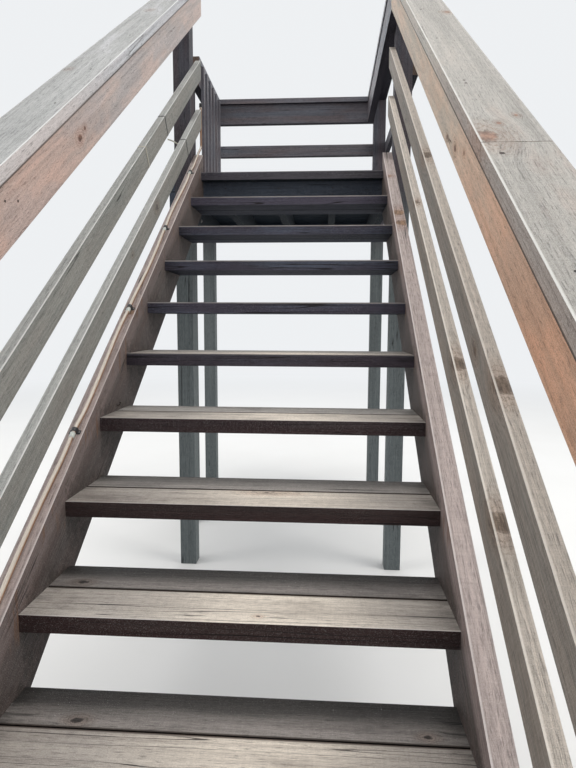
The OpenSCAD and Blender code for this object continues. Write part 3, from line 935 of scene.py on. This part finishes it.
for nodes, way, finish, slot, spacing in (
        ("landing_floor", "cross_flat", floor_timber, WEATHERED, WIDE_CUTS),
        ("front_rim back_rim", "cross_edge", rim_timber, DARK, WIDE_CUTS),
        ("side_rims joists", "deep_edge", painted_shade_joist_timber, DARK, WIDE_CUTS),
        ("landing_board_back landing_mid_rails_back", "cross_edge", dark_timber, DARK, WIDE_CUTS),
        ("landing_board_left landing_board_right landing_mid_rails_right bottom_rail_left", "deep_edge",
         dark_timber, DARK, WIDE_CUTS),
        ("landing_cap_right landing_cap_left", "deep_flat", dark_timber, DARK, FINE_CUTS),
        ("landing_cap_back", "cross_flat", dark_timber, DARK, FINE_CUTS),
        ("back_post_right back_post_left way_out_post", "upright", post_timber, PINE, WIDE_CUTS),
        ("pickets_left", "upright", dark_timber, DARK, WIDE_CUTS)):
    for node in nodes.split():
        dress(node, way, [finish], dark_end, spacing=spacing)


# Screws, bolts and nails, set out as points and made by one tree


# Each step of a head: what lifts its top, by which share of it, and how far the top then draws in
HEAD_STEPS = (("Crown", 0.6, 0.86), ("Crown", 0.4, 0.66), (None, 0.0, 0.55), ("Drive", -1.0, 0.9))


def fastener_tree():
    """A head on each point: a round or many-sided disc with a crown and a sunk drive."""
    tree = bpy.data.node_groups.new("fastener", "GeometryNodeTree")
    tree.is_modifier = True
    for name, kind in (("Geometry", "Geometry"), ("Sides", "Int"), ("Radius", "Float"), ("Height", "Float"),
                       ("Crown", "Float"), ("Drive", "Float"), ("Spread", "Float"), ("Seed", "Int"),
                       ("Finish", "Material")):
        tree.interface.new_socket(name, in_out="INPUT", socket_type="NodeSocket" + kind)
    tree.interface.new_socket("Geometry", in_out="OUTPUT", socket_type="NodeSocketGeometry")
    given = tree.nodes.new("NodeGroupInput").outputs

    def step(kind, inputs, **settings):
        node = tree.nodes.new(kind)
        for key, value in settings.items():
            setattr(node, key, value)
        for key, value in inputs.items():
            if isinstance(value, bpy.types.NodeSocket):
                tree.links.new(value, node.inputs[key])
            else:
                node.inputs[key].default_value = value
        return node.outputs

    disc = step("GeometryNodeMeshCylinder", {"Vertices": given["Sides"], "Radius": given["Radius"],
                                             "Depth": given["Height"]}, fill_type="NGON")
    shape, top = disc["Mesh"], disc["Top"]
    for lifted_by, share, width in HEAD_STEPS:
        lift = 0.0
        if lifted_by:
            lift = step("ShaderNodeMath", {0: given[lifted_by], 1: share}, operation="MULTIPLY")[0]
        grown = step("GeometryNodeExtrudeMesh", {"Mesh": shape, "Selection": top, "Offset Scale": lift},
                     mode="FACES")
        top = grown["Top"]
        shape = step("GeometryNodeScaleElements", {"Geometry": grown["Mesh"], "Selection": top,
                                                   "Scale": width}, domain="FACE")["Geometry"]
    head = step("GeometryNodeMergeByDistance", {"Geometry": shape, "Distance": 1e-6})[0]
    facing = step("GeometryNodeInputNamedAttribute", {"Name": "facing"}, data_type="FLOAT_VECTOR")[0]
    turned = step("FunctionNodeAlignRotationToVector", {"Vector": facing}, axis="Z")[0]
    smallest = step("ShaderNodeMath", {0: 1.0, 1: given["Spread"]}, operation="SUBTRACT")[0]
    size = step("FunctionNodeRandomValue", {2: smallest, 3: 1.0, "Seed": given["Seed"]},
                data_type="FLOAT")[1]
    spin = step("FunctionNodeRandomValue", {0: (0, 0, 0), 1: (0, 0, math.tau), "Seed": given["Seed"]},
                data_type="FLOAT_VECTOR")[0]
    heads = step("GeometryNodeInstanceOnPoints", {"Points": given["Geometry"], "Instance": head,
                                                  "Rotation": turned, "Scale": size})[0]
    heads = step("GeometryNodeRotateInstances", {"Instances": heads, "Rotation": spin})[0]
    heads = step("GeometryNodeRealizeInstances", {0: heads})[0]
    heads = step("GeometryNodeSetMaterial", {"Geometry": heads, "Material": given["Finish"]})[0]
    step("NodeGroupOutput", {0: heads})
    return tree


FASTENER = fastener_tree()


def fasten(name, points, finish, sides=12, radius=0.004, height=0.001, crown=0.0002,
           drive=0.0, spread=0.06, seed=7):
    """Heads at (place, facing) points, as one plain mesh."""
    mesh = bpy.data.meshes.new(name)
    mesh.from_pydata([at for at, facing in points], [], [])
    mark = mesh.attributes.new("facing", "FLOAT_VECTOR", "POINT")
    for item, (at, facing) in zip(mark.data, points):
        item.vector = facing
    piece = put_in(name, mesh)
    heads = piece.modifiers.new("heads", "NODES")
    heads.node_group = FASTENER
    values = {"Sides": sides, "Radius": radius, "Height": height, "Crown": crown, "Drive": drive,
              "Spread": spread, "Seed": seed, "Finish": finish}
    for item in FASTENER.interface.items_tree:
        if item.in_out == "INPUT" and item.name in values:
            heads[item.identifier] = values[item.name]
    seen = piece.evaluated_get(bpy.context.evaluated_depsgraph_get())
    made = bpy.data.meshes.new_from_object(seen)
    piece.modifiers.clear()
    piece.data = made
    made.name = name
    bpy.data.meshes.remove(mesh)
    return link(piece)


BACK_POST = LANDING_BACK - POST / 2
UNDER_CAP = LANDING_CAP - CAP_THICK
# How a pair of screws stands: as shares of a tread board's width, and in metres off its middle
TREAD_PAIR = (0.24, 0.76)
RAIL_PAIR = (-0.018, 0.018)
BOARD_PAIR = (-0.022, 0.022)
STAGGER = 0.012
LANDING_SCREWS_IN = (0.022, 0.030)
LEVEL_RAIL_SCREWS = (-0.62, 0.525)
COACH_SCREWS = ((FOOT_NEWEL, (-0.02, -0.11)), (HEAD_NEWEL, (-0.03, -0.15)))
RIM_SCREW_DROPS = (0.040, 0.100)
RIM_NAIL_DROPS = (0.035, 0.070, 0.105)
PICKET_NAILS = (FLOOR + 0.091, FLOOR + 0.131, UNDER_CAP - 0.045, UNDER_CAP - 0.105)
PICKET_NAIL_STAGGER = 0.004
BOARD_NAILS = ((1.051, 1.680), (1.105, 1.691))
# Where the cap's nails show, as x and y, and then on at the same spacing
CAP_NAILS = {
    "left": ((-0.537, 1.378), (-0.545, 1.651), (-0.544, 2.029), (-0.541, 2.395), (-0.546, 2.79),
             (-0.540, 1.02), (-0.544, 0.66), (-0.540, 0.29)),
    "right": ((0.540, 1.355), (0.540, 1.334), (0.535, 1.727), (0.538, 2.10), (0.535, 2.46), (0.539, 2.80),
              (0.536, 0.62), (0.540, 0.30)),
}
CAP_HOLE = over_pitch(0.529, 0.962, CAP_TOP["right"])


def tread_screws():
    """Two screws into the end of each tread board, through each stringer."""
    newels_cover = RIM_FRONT - 0.1
    boards = ((0.0, FRONT_BOARD), (FRONT_BOARD + BOARD_GAP, BACK_BOARD))
    points = []
    for n in range(1, TREADS + 1):
        places = [n * GOING + front + width * share for front, width in boards for share in TREAD_PAIR]
        points += [(place(side * STRINGER_OUT, y, n * RISE - TREAD_THICK / 2), X * side)
                   for y in places if y <= newels_cover for side in BOTH_SIDES]
    return points


def rail_screws():
    """Two screws through each middle rail into each newel, and two through each handrail board."""
    points = []
    for side, sign in SIDES.items():
        ends = (FOOT_NEWEL, HEAD_NEWEL - (STAGGER if side == "right" else 0.0))
        for y in ends:
            for top in RAIL_TOPS[side]:
                middle = top - RAIL_DEPTH / COS / 2
                for step in RAIL_PAIR:
                    points.append((over_pitch(sign * RAIL_IN, y + step * 0.5, middle + step), X * -sign))
        middle = CAP_TOP[side] - CAP_THICK / COS - BOARD_DEPTH[side] / COS / 2
        for y in ends if side == "left" else ends[:1]:
            for step in BOARD_PAIR:
                points.append((over_pitch(sign * BOARD_IN, y + step * 0.4, middle + step), X * -sign))
    return points


def landing_lines():
    """Where the rims and joists run under the landing floor."""
    space = (LANDING_LEFT + LANDING_RIGHT - RIM_THICK) / (JOISTS + 1)
    return [i * space - LANDING_LEFT + RIM_THICK / 2 for i in range(JOISTS + 2)]


def landing_screws():
    """Two screws in each landing board over each rim and joist."""
    pitch = (LANDING_BACK - LANDING_FRONT + BOARD_GAP) / LANDING_BOARDS
    from_front, from_back = LANDING_SCREWS_IN
    points = []
    for i in range(LANDING_BOARDS):
        front = LANDING_FRONT + i * pitch
        back = front + pitch - BOARD_GAP
        for y in (max(front, RIM_FRONT) + from_front, back - from_back):
            points += [(place(x, y, FLOOR), Z) for x in landing_lines()]
    return points


def rim_nails():
    """Nails through the front and back rims into the joists."""
    points = []
    for x in landing_lines()[1:-1]:
        for drop in RIM_NAIL_DROPS:
            z = FLOOR - TREAD_THICK - drop
            points += [(place(x, LANDING_BACK, z), Y), (place(x, RIM_FRONT, z), -Y)]
    return points


def cap_nails():
    """Nails down through the handrail caps."""
    return [(over_pitch(x, y, CAP_TOP[side]), OFF_SLOPE) for side in SIDES for x, y in CAP_NAILS[side]]


def board_nails():
    """Nails in the left handrail board, the pickets and the landing's back rails."""
    points = [(place(-BOARD_IN, y, z), X) for y, z in BOARD_NAILS]
    space = (BACK_POST - WAY_OUT - PICKETS * PICKET_WIDTH) / (PICKETS + 1)
    face = PICKET_THICK - LANDING_LEFT + POST / 2
    for i in range(PICKETS):
        y = WAY_OUT + space + i * (space + PICKET_WIDTH) + PICKET_WIDTH / 2
        points += [(place(face, y + PICKET_NAIL_STAGGER * (-1) ** i, z), X) for z in PICKET_NAILS]
    for top in LEVEL_RAIL_TOPS:
        middle = FLOOR + top - RAIL_DEPTH / 2
        points += [(place(x, BACK_POST, middle + step), -Y) for x in LEVEL_RAIL_SCREWS for step in RAIL_PAIR]
    return points


def post_screws():
    """Coach screws with washers, through the newels and the back posts."""
    points = []
    for side in BOTH_SIDES:
        for y, heights in COACH_SCREWS:
            for n, height in enumerate(heights):
                points.append((over_pitch(side * POST_OUT, y + STAGGER * (-1) ** n, height), X * side))
    for n, drop in enumerate(RIM_SCREW_DROPS):
        z = FLOOR - TREAD_THICK - drop
        for x, y in ((POST_OUT, BACK_POST), (RIM_THICK - LANDING_LEFT, WAY_OUT + POST / 2),
                     (RIM_THICK - LANDING_LEFT, BACK_POST - RIM_THICK)):
            points.append((place(x, y + STAGGER * (-1) ** n, z), X))
    return points


fasten("stringer_screws", tread_screws(), zinc, radius=0.0042, drive=0.0016, seed=3)
fasten("rail_screws", rail_screws(), zinc, radius=0.0040, drive=0.0014, seed=5)
fasten("landing_screws", landing_screws(), zinc, radius=0.0042, drive=0.0016, seed=11)
fasten("cap_nails", cap_nails(), black_nail, sides=10, radius=0.0036, height=0.0006, seed=13)
fasten("cap_hole", [(CAP_HOLE, OFF_SLOPE)], black_nail, sides=14, radius=0.0055, height=0.0006, seed=14)
fasten("rim_nails", rim_nails(), black_nail, sides=10, radius=0.0034, seed=17)
fasten("board_nails", board_nails(), black_nail, sides=10, radius=0.0032, seed=19)
fasten("post_washers", post_screws(), zinc, sides=20, radius=0.0150, height=0.0040, crown=0.0, spread=0.0,
       seed=23)
fasten("post_screws", [(at + facing * 0.002, facing) for at, facing in post_screws()], zinc, sides=6,
       radius=0.0098, height=0.0120, crown=0.0012, spread=0.0, seed=29)


# The rope light, its clips and the ties on the rails


def arc(radius, turn, steps):
    """Places round a circle, from its right side over a turn, in even steps."""
    return [(radius * math.cos(angle), radius * math.sin(angle)) for angle in spread_out(0.0, turn, steps)]


def round_outline(radius, sides):
    """An even, closed outline."""
    return arc(radius, math.tau, sides)[:-1]


def wall(solid, near, far):
    """Faces between two rings of corners."""
    for j in range(len(near)):
        k = (j + 1) % len(near)
        solid.faces.new((near[j], near[k], far[k], far[j]))


def skin(solid, rings, closed=False):
    """Faces along a row of rings, which meets itself if it is closed and has ends if not."""
    for near, far in zip(rings, rings[1:] + rings[:1] if closed else rings[1:]):
        wall(solid, near, far)
    if not closed:
        solid.faces.new(list(reversed(rings[0])))
        solid.faces.new(rings[-1])
    bmesh.ops.recalc_face_normals(solid, faces=solid.faces)
    return solid


def sweep(points, outline, up=Z):
    """The outline, given square to the run, carried along the points without twist."""
    solid = bmesh.new()
    rings, side = [], None
    for i, at in enumerate(points):
        ahead = (points[min(i + 1, len(points) - 1)] - points[max(i - 1, 0)]).normalized()
        side = (up.cross(ahead) if side is None else side - ahead * side.dot(ahead)).normalized()
        over = ahead.cross(side)
        rings.append([solid.verts.new(at + side * a + over * b) for a, b in outline])
    return skin(solid, rings)


ROPE_X = -0.525
ROPE_RADIUS = 0.0065
ROPE_BEND = 0.040
ROPE_STAND = 0.200
ROPE_START = GOING
SAG = 0.0022
WANDER = 0.0040
LOOSE_FROM = 0.09
WAVES = 9.1
TUBE_STEP = 0.02
WIRE_STEP = 0.006
WIRE_RADIUS = 0.0013
WIRE_OUT = 0.0016
WIRE_TWIST = 0.16
CLIP_EASE = 0.0002
CLIP_WALL = 0.0025
CLIP_LENGTH = 0.014
CLIP_FOOT = 0.034
CLIP_STEP = 0.620 * COS
CLIPS = 6
LAST_CLIP = 2.889
CLIP_SCREWS = (-0.0130, 0.0130)
# A sleeve's radius, and its ends and inner rings as distances below its clip
SLEEVE_RADIUS = 0.0078
SLEEVE_RUN = (0.022, 0.016, 0.008, 0.004)
ROPE_SEAT = ROPE_RADIUS + CLIP_WALL
ROPE_WALL = RAIL_END + ROPE_RADIUS + CLIP_EASE
ROPE_UP = STRINGER_RISE + ROPE_SEAT / COS
TURN_START = ROPE_WALL - ROPE_BEND * (1 - SIN)
TURN_MIDDLE = TURN_START * SLOPE + ROPE_UP + ROPE_BEND * COS
CLIP_PLACES = [LAST_CLIP - i * CLIP_STEP for i in range(CLIPS)]
# An end cap's run and radius, from its mouth to its nose
END_CAP = ((0.0, 0.0088), (0.0008, 0.0090), (0.006, 0.0090), (0.0068, 0.0082), (0.0076, 0.0082),
           (0.0084, 0.0090), (0.0180, 0.0088), (0.0206, 0.0078), (0.0220, 0.0058))


def rope_route(step):
    """Up the stringer's top edge, sagging and wandering a little between its clips, then up the newel."""
    points = []
    for y in spread_out(ROPE_START, TURN_START, int((TURN_START - ROPE_START) / COS / step)):
        free = min([abs(y + CLIP_LENGTH / 2 - clip) for clip in CLIP_PLACES]
                   + [y - ROPE_START + 0.02, TURN_START - y + 0.02])
        loose = min(1.0, free / LOOSE_FROM)
        loose = loose * loose * (3 - 2 * loose)
        wander = WANDER * math.sin(y * WAVES + 0.7) * loose
        points.append(over_pitch(ROPE_X + wander, y, ROPE_UP) - OFF_SLOPE * SAG * loose)
    for turn in spread_out(PITCH, math.pi / 2, 9)[1:]:
        points.append(place(ROPE_X, ROPE_WALL - ROPE_BEND + ROPE_BEND * math.sin(turn),
                            TURN_MIDDLE - ROPE_BEND * math.cos(turn)))
    for rise in spread_out(0.0, ROPE_STAND, int(ROPE_STAND / step))[1:]:
        points.append(place(ROPE_X, ROPE_WALL, TURN_MIDDLE + rise))
    return points


def twisted(points, start):
    """One wire of a twisted pair about the points."""
    found = []
    for i, at in enumerate(points):
        ahead = (points[min(i + 1, len(points) - 1)] - points[max(i - 1, 0)]).normalized()
        side = X - ahead * X.dot(ahead)
        over = ahead.cross(side)
        angle = start + i * WIRE_TWIST
        found.append(at + (side * math.cos(angle) + over * math.sin(angle)) * WIRE_OUT)
    return found


def end_cap(at, ahead):
    """A moulded cap on the tube's end, with a groove round it."""
    solid = bmesh.new()
    side = ahead.cross(X).normalized()
    rings = [[solid.verts.new(at + ahead * along + X * c + side * s) for c, s in round_outline(radius, 20)]
             for along, radius in END_CAP]
    return skin(solid, rings)


def rope_light():
    """The clear tube with its twisted wires, its lamps and its end caps."""
    tube = make_piece("rope_light_tube", [sweep(rope_route(TUBE_STEP), round_outline(ROPE_RADIUS, 14))],
                      [tube_plastic], round_all_over=True)
    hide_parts("rope_light")
    link(tube)
    fine = rope_route(WIRE_STEP)
    wires = [sweep(twisted(fine, start), round_outline(WIRE_RADIUS, 6)) for start in (0.0, math.pi)]
    link(make_piece("rope_light_wires", wires, [strand_copper], round_all_over=True))
    beads = [(at, (b - a).normalized()) for a, at, b in zip(fine[2::4], fine[3::4], fine[4::4])]
    fasten("rope_light_lamps", beads, lamp_bead, sides=8, radius=0.0020, height=0.005,
           crown=0.001, spread=0.0)
    foot = end_cap(over_pitch(ROPE_X, ROPE_START, ROPE_UP), -UP_SLOPE)
    head = end_cap(place(ROPE_X, ROPE_WALL, TURN_MIDDLE + ROPE_STAND), Z)
    ends = make_piece("rope_light_end_caps", [foot, head], [clip_plastic])
    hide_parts("rope_light_ends")
    link(ends)


def clip_outlines():
    """A saddle clip seen along the tube: its two feet and the band over the tube, and its bore."""
    foot, outer, inner = CLIP_FOOT / 2, ROPE_SEAT, ROPE_RADIUS + CLIP_EASE
    base, foot_top = -ROPE_SEAT, CLIP_WALL - ROPE_SEAT
    return ([(-foot, base), (foot, base), (foot, foot_top), (outer, foot_top), *arc(outer, math.pi, 10),
             (-outer, foot_top), (-foot, foot_top)], round_outline(inner, 16))


def clip(at):
    """One saddle clip, with its long edges eased."""
    solid = bmesh.new()
    near, far = ([[solid.verts.new(at + UP_SLOPE * along + X * a + OFF_SLOPE * b) for a, b in line]
                  for line in clip_outlines()] for along in (0.0, CLIP_LENGTH))
    for line, opposite in zip(near, far):
        wall(solid, line, opposite)
    for face in (near, far):
        rim = [solid.edges.get((line[j - 1], line[j])) for line in face for j in range(len(line))]
        bmesh.ops.triangle_fill(solid, edges=rim, use_beauty=True, use_dissolve=False)
    bmesh.ops.recalc_face_normals(solid, faces=solid.faces)
    sharp = [e for e in solid.edges if e.calc_length() > CLIP_LENGTH * 0.9 and len(e.link_faces) == 2
             and e.calc_face_angle(0) > math.radians(60)]
    bmesh.ops.bevel(solid, geom=sharp, offset=0.0006, segments=1, affect="EDGES", clamp_overlap=True)
    return solid


def clips():
    """Saddle clips over the tube, each with two small screws."""
    places = [over_pitch(ROPE_X, y, ROPE_UP) for y in CLIP_PLACES]
    piece = make_piece("rope_light_saddles", [clip(at) for at in places], [clip_plastic])
    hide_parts("rope_light_clips")
    link(piece)
    on_feet = UP_SLOPE * CLIP_LENGTH / 2 - OFF_SLOPE * (ROPE_SEAT - CLIP_WALL)
    screws = [(at + X * step + on_feet, OFF_SLOPE) for at in places for step in CLIP_SCREWS]
    fasten("saddle_screws", screws, zinc, sides=10, radius=0.0026, height=0.0008, drive=0.0006, seed=31)


def sleeves():
    """A short clear sleeve on the tube below each clip."""
    rings = []
    for y in CLIP_PLACES:
        at = over_pitch(ROPE_X, y, ROPE_UP)
        run = [at - UP_SLOPE * back for back in SLEEVE_RUN]
        rings.append(sweep(run, round_outline(SLEEVE_RADIUS, 14)))
    link(make_piece("rope_light_sleeves", rings, [sleeve_plastic], round_all_over=True))


TIE_GAP = 0.0006
TIE_CORNER = 0.003
TIE_THICK = 0.0012
# Where each tie goes round a left middle rail, how high that rail's top is, and the tie's width
LOW_RAIL, HIGH_RAIL = RAIL_TOPS["left"]
BLACK_TIES = ((2.400, HIGH_RAIL, 0.0050), (2.785, LOW_RAIL, 0.0044))
PALE_TIE = (2.110, HIGH_RAIL, 0.0060)
TAIL_START = over_pitch(-STRINGER_OUT, 2.772, LOW_RAIL - 0.018)
TAIL_RADIUS = 0.0034
TAIL = ((0, 0, 0), (-0.010, 0.000, 0.004), (-0.024, -0.004, 0.012), (-0.040, -0.010, 0.018),
        (-0.056, -0.014, 0.022))


def round_rail(y, top):
    """A tie's route round a left middle rail, square to its slope."""
    middle = over_pitch(-(RAIL_IN + STRINGER_OUT) / 2, y, top) - OFF_SLOPE * RAIL_DEPTH / 2
    out = (STRINGER_OUT - RAIL_IN) / 2 + TIE_GAP - TIE_CORNER
    up = RAIL_DEPTH / 2 + TIE_GAP - TIE_CORNER
    points = []
    for a, b, start in ((out, up, 0), (-out, up, 90), (-out, -up, 180), (out, -up, 270)):
        for turn in (0, 45, 90):
            angle = math.radians(start + turn)
            points.append(middle + X * (a + TIE_CORNER * math.cos(angle))
                          + OFF_SLOPE * (b + TIE_CORNER * math.sin(angle)))
    return points


def band(points, width):
    """A flat band round a closed route, lying on it."""
    flat = [(-width / 2, 0.0), (width / 2, 0.0), (width / 2, TIE_THICK), (-width / 2, TIE_THICK)]
    solid = bmesh.new()
    middle = sum(points, Vector()) / len(points)
    rings = []
    for i, at in enumerate(points):
        out = (points[(i + 1) % len(points)] - points[i - 1]).cross(UP_SLOPE).normalized()
        if out.dot(at - middle) < 0:
            out = -out
        rings.append([solid.verts.new(at + UP_SLOPE * a + out * b) for a, b in flat])
    return skin(solid, rings, closed=True)


def ties():
    """Cable ties and a cord end left on the left middle rails."""
    black = [band(round_rail(y, top), width) for y, top, width in BLACK_TIES]
    link(make_piece("black_ties", black, [clip_plastic]))
    tail = [TAIL_START + Vector(step) for step in TAIL]
    y, top, width = PALE_TIE
    pale = [band(round_rail(y, top), width), sweep(tail, round_outline(TAIL_RADIUS, 8))]
    link(make_piece("pale_ties", pale, [pale_tie]))


NAIL_AT = place(-CLEAR, 1.674, 1.140)
# The bent nail's shank, as distances out of the stringer and up, then its radius and its head
NAIL_SHANK = ((-0.006, 0), (0.004, 0), (0.008, 0.001), (0.011, 0.005), (0.012, 0.010))
SHANK_RADIUS = 0.0015
NAIL_HEAD = (-0.0006, 0.0008)
NAIL_HEAD_RADIUS = 0.0036


def bent_nail():
    """A nail left sticking out of the left stringer, bent up."""
    shank = [NAIL_AT + X * out + Z * up for out, up in NAIL_SHANK]
    head = [shank[-1] + Z * up for up in NAIL_HEAD]
    nail = [sweep(shank, round_outline(SHANK_RADIUS, 8)),
            sweep(head, round_outline(NAIL_HEAD_RADIUS, 10), up=X)]
    link(make_piece("bent_nail", nail, [black_nail]))


rope_light()
clips()
sleeves()
ties()
bent_nail()


# The studio


FLOOR_REACH = 60.0
FLOOR_DROP = 0.001
FLOOR_TONE = (0.22, 0.235, 0.26)
FLOOR_LIGHT = ((0.79, 0.775, 0.755), (0.84, 0.83, 0.815))
FADE = (4.5, 13.0)
SKY = ((0.90, 0.95, 1.0), 0.50)
BACKDROP = ((0.93, 0.95, 0.97), 0.92)
AIM = Vector((0, 0, 1.0))
# Each lamp's name, place, size, power and colour
LAMPS = (("overhead", (0.8, -0.5, 16.0), 10.0, 1250, (1.0, 0.99, 0.97)),
         ("from_the_right", (9.0, -3.0, 4.0), 6.0, 520, (1.0, 0.98, 0.95)),
         ("from_the_left", (-9.0, -2.0, 4.5), 6.0, 320, (1.0, 0.98, 0.96)),
         ("from_behind", (-1.0, 10.0, 8.0), 6.0, 220, (0.95, 0.98, 1.0)))


def floor_finish():
    """A pale floor that fades into the backdrop a long way out."""
    r = new_finish("studio_floor")
    seen = r.background_rays()
    pale = r.blend(r.noise(r.point(), 1.3, 3.0), *FLOOR_LIGHT)
    floor = r.shader(Base_Color=r.blend(seen, FLOOR_TONE, pale), Roughness=0.9)
    far = r.length(r.move("MULTIPLY", r.point(), (1.0, 1.0, 0.0))).between(*FADE)
    colour, strength = BACKDROP
    glow = r.step("Emission", {"Color": colour, "Strength": strength}).outputs[0]
    return r.ends_in(r.mixed(far * seen, floor, glow))


def studio_floor():
    """A wide flat floor just under the feet of the posts."""
    mesh = bpy.data.meshes.new("studio_floor")
    corners = [(x * FLOOR_REACH, y * FLOOR_REACH, 0) for x, y in ((-1, -1), (1, -1), (1, 1), (-1, 1))]
    mesh.from_pydata(corners, [], [(0, 1, 2, 3)])
    mesh.materials.append(floor_finish())
    floor = put_in("studio_floor", mesh)
    floor.location.z = -FLOOR_DROP


def surround():
    """Soft light from all round, behind a pale backdrop."""
    r = Recipe(bpy.data.worlds.new("surround"))
    sky, backdrop = (r.step("Background", {0: colour, 1: strength}).outputs[0]
                     for colour, strength in (SKY, BACKDROP))
    bpy.context.scene.world = r.ends_in(r.mixed(r.background_rays(), sky, backdrop), "World")


def lamps():
    """Wide soft lamps, all aimed at the stairs."""
    for name, at, size, power, colour in LAMPS:
        lamp = bpy.data.lights.new(name, "AREA")
        lamp.shape, lamp.size, lamp.energy, lamp.color = "DISK", size, power, colour
        light = put_in(name, lamp)
        light.location = at
        light.rotation_mode = "QUATERNION"
        light.rotation_quaternion = (AIM - Vector(at)).to_track_quat("-Z", "Y")


studio_floor()
surround()
lamps()
bpy.context.scene.view_settings.view_transform = "Standard"
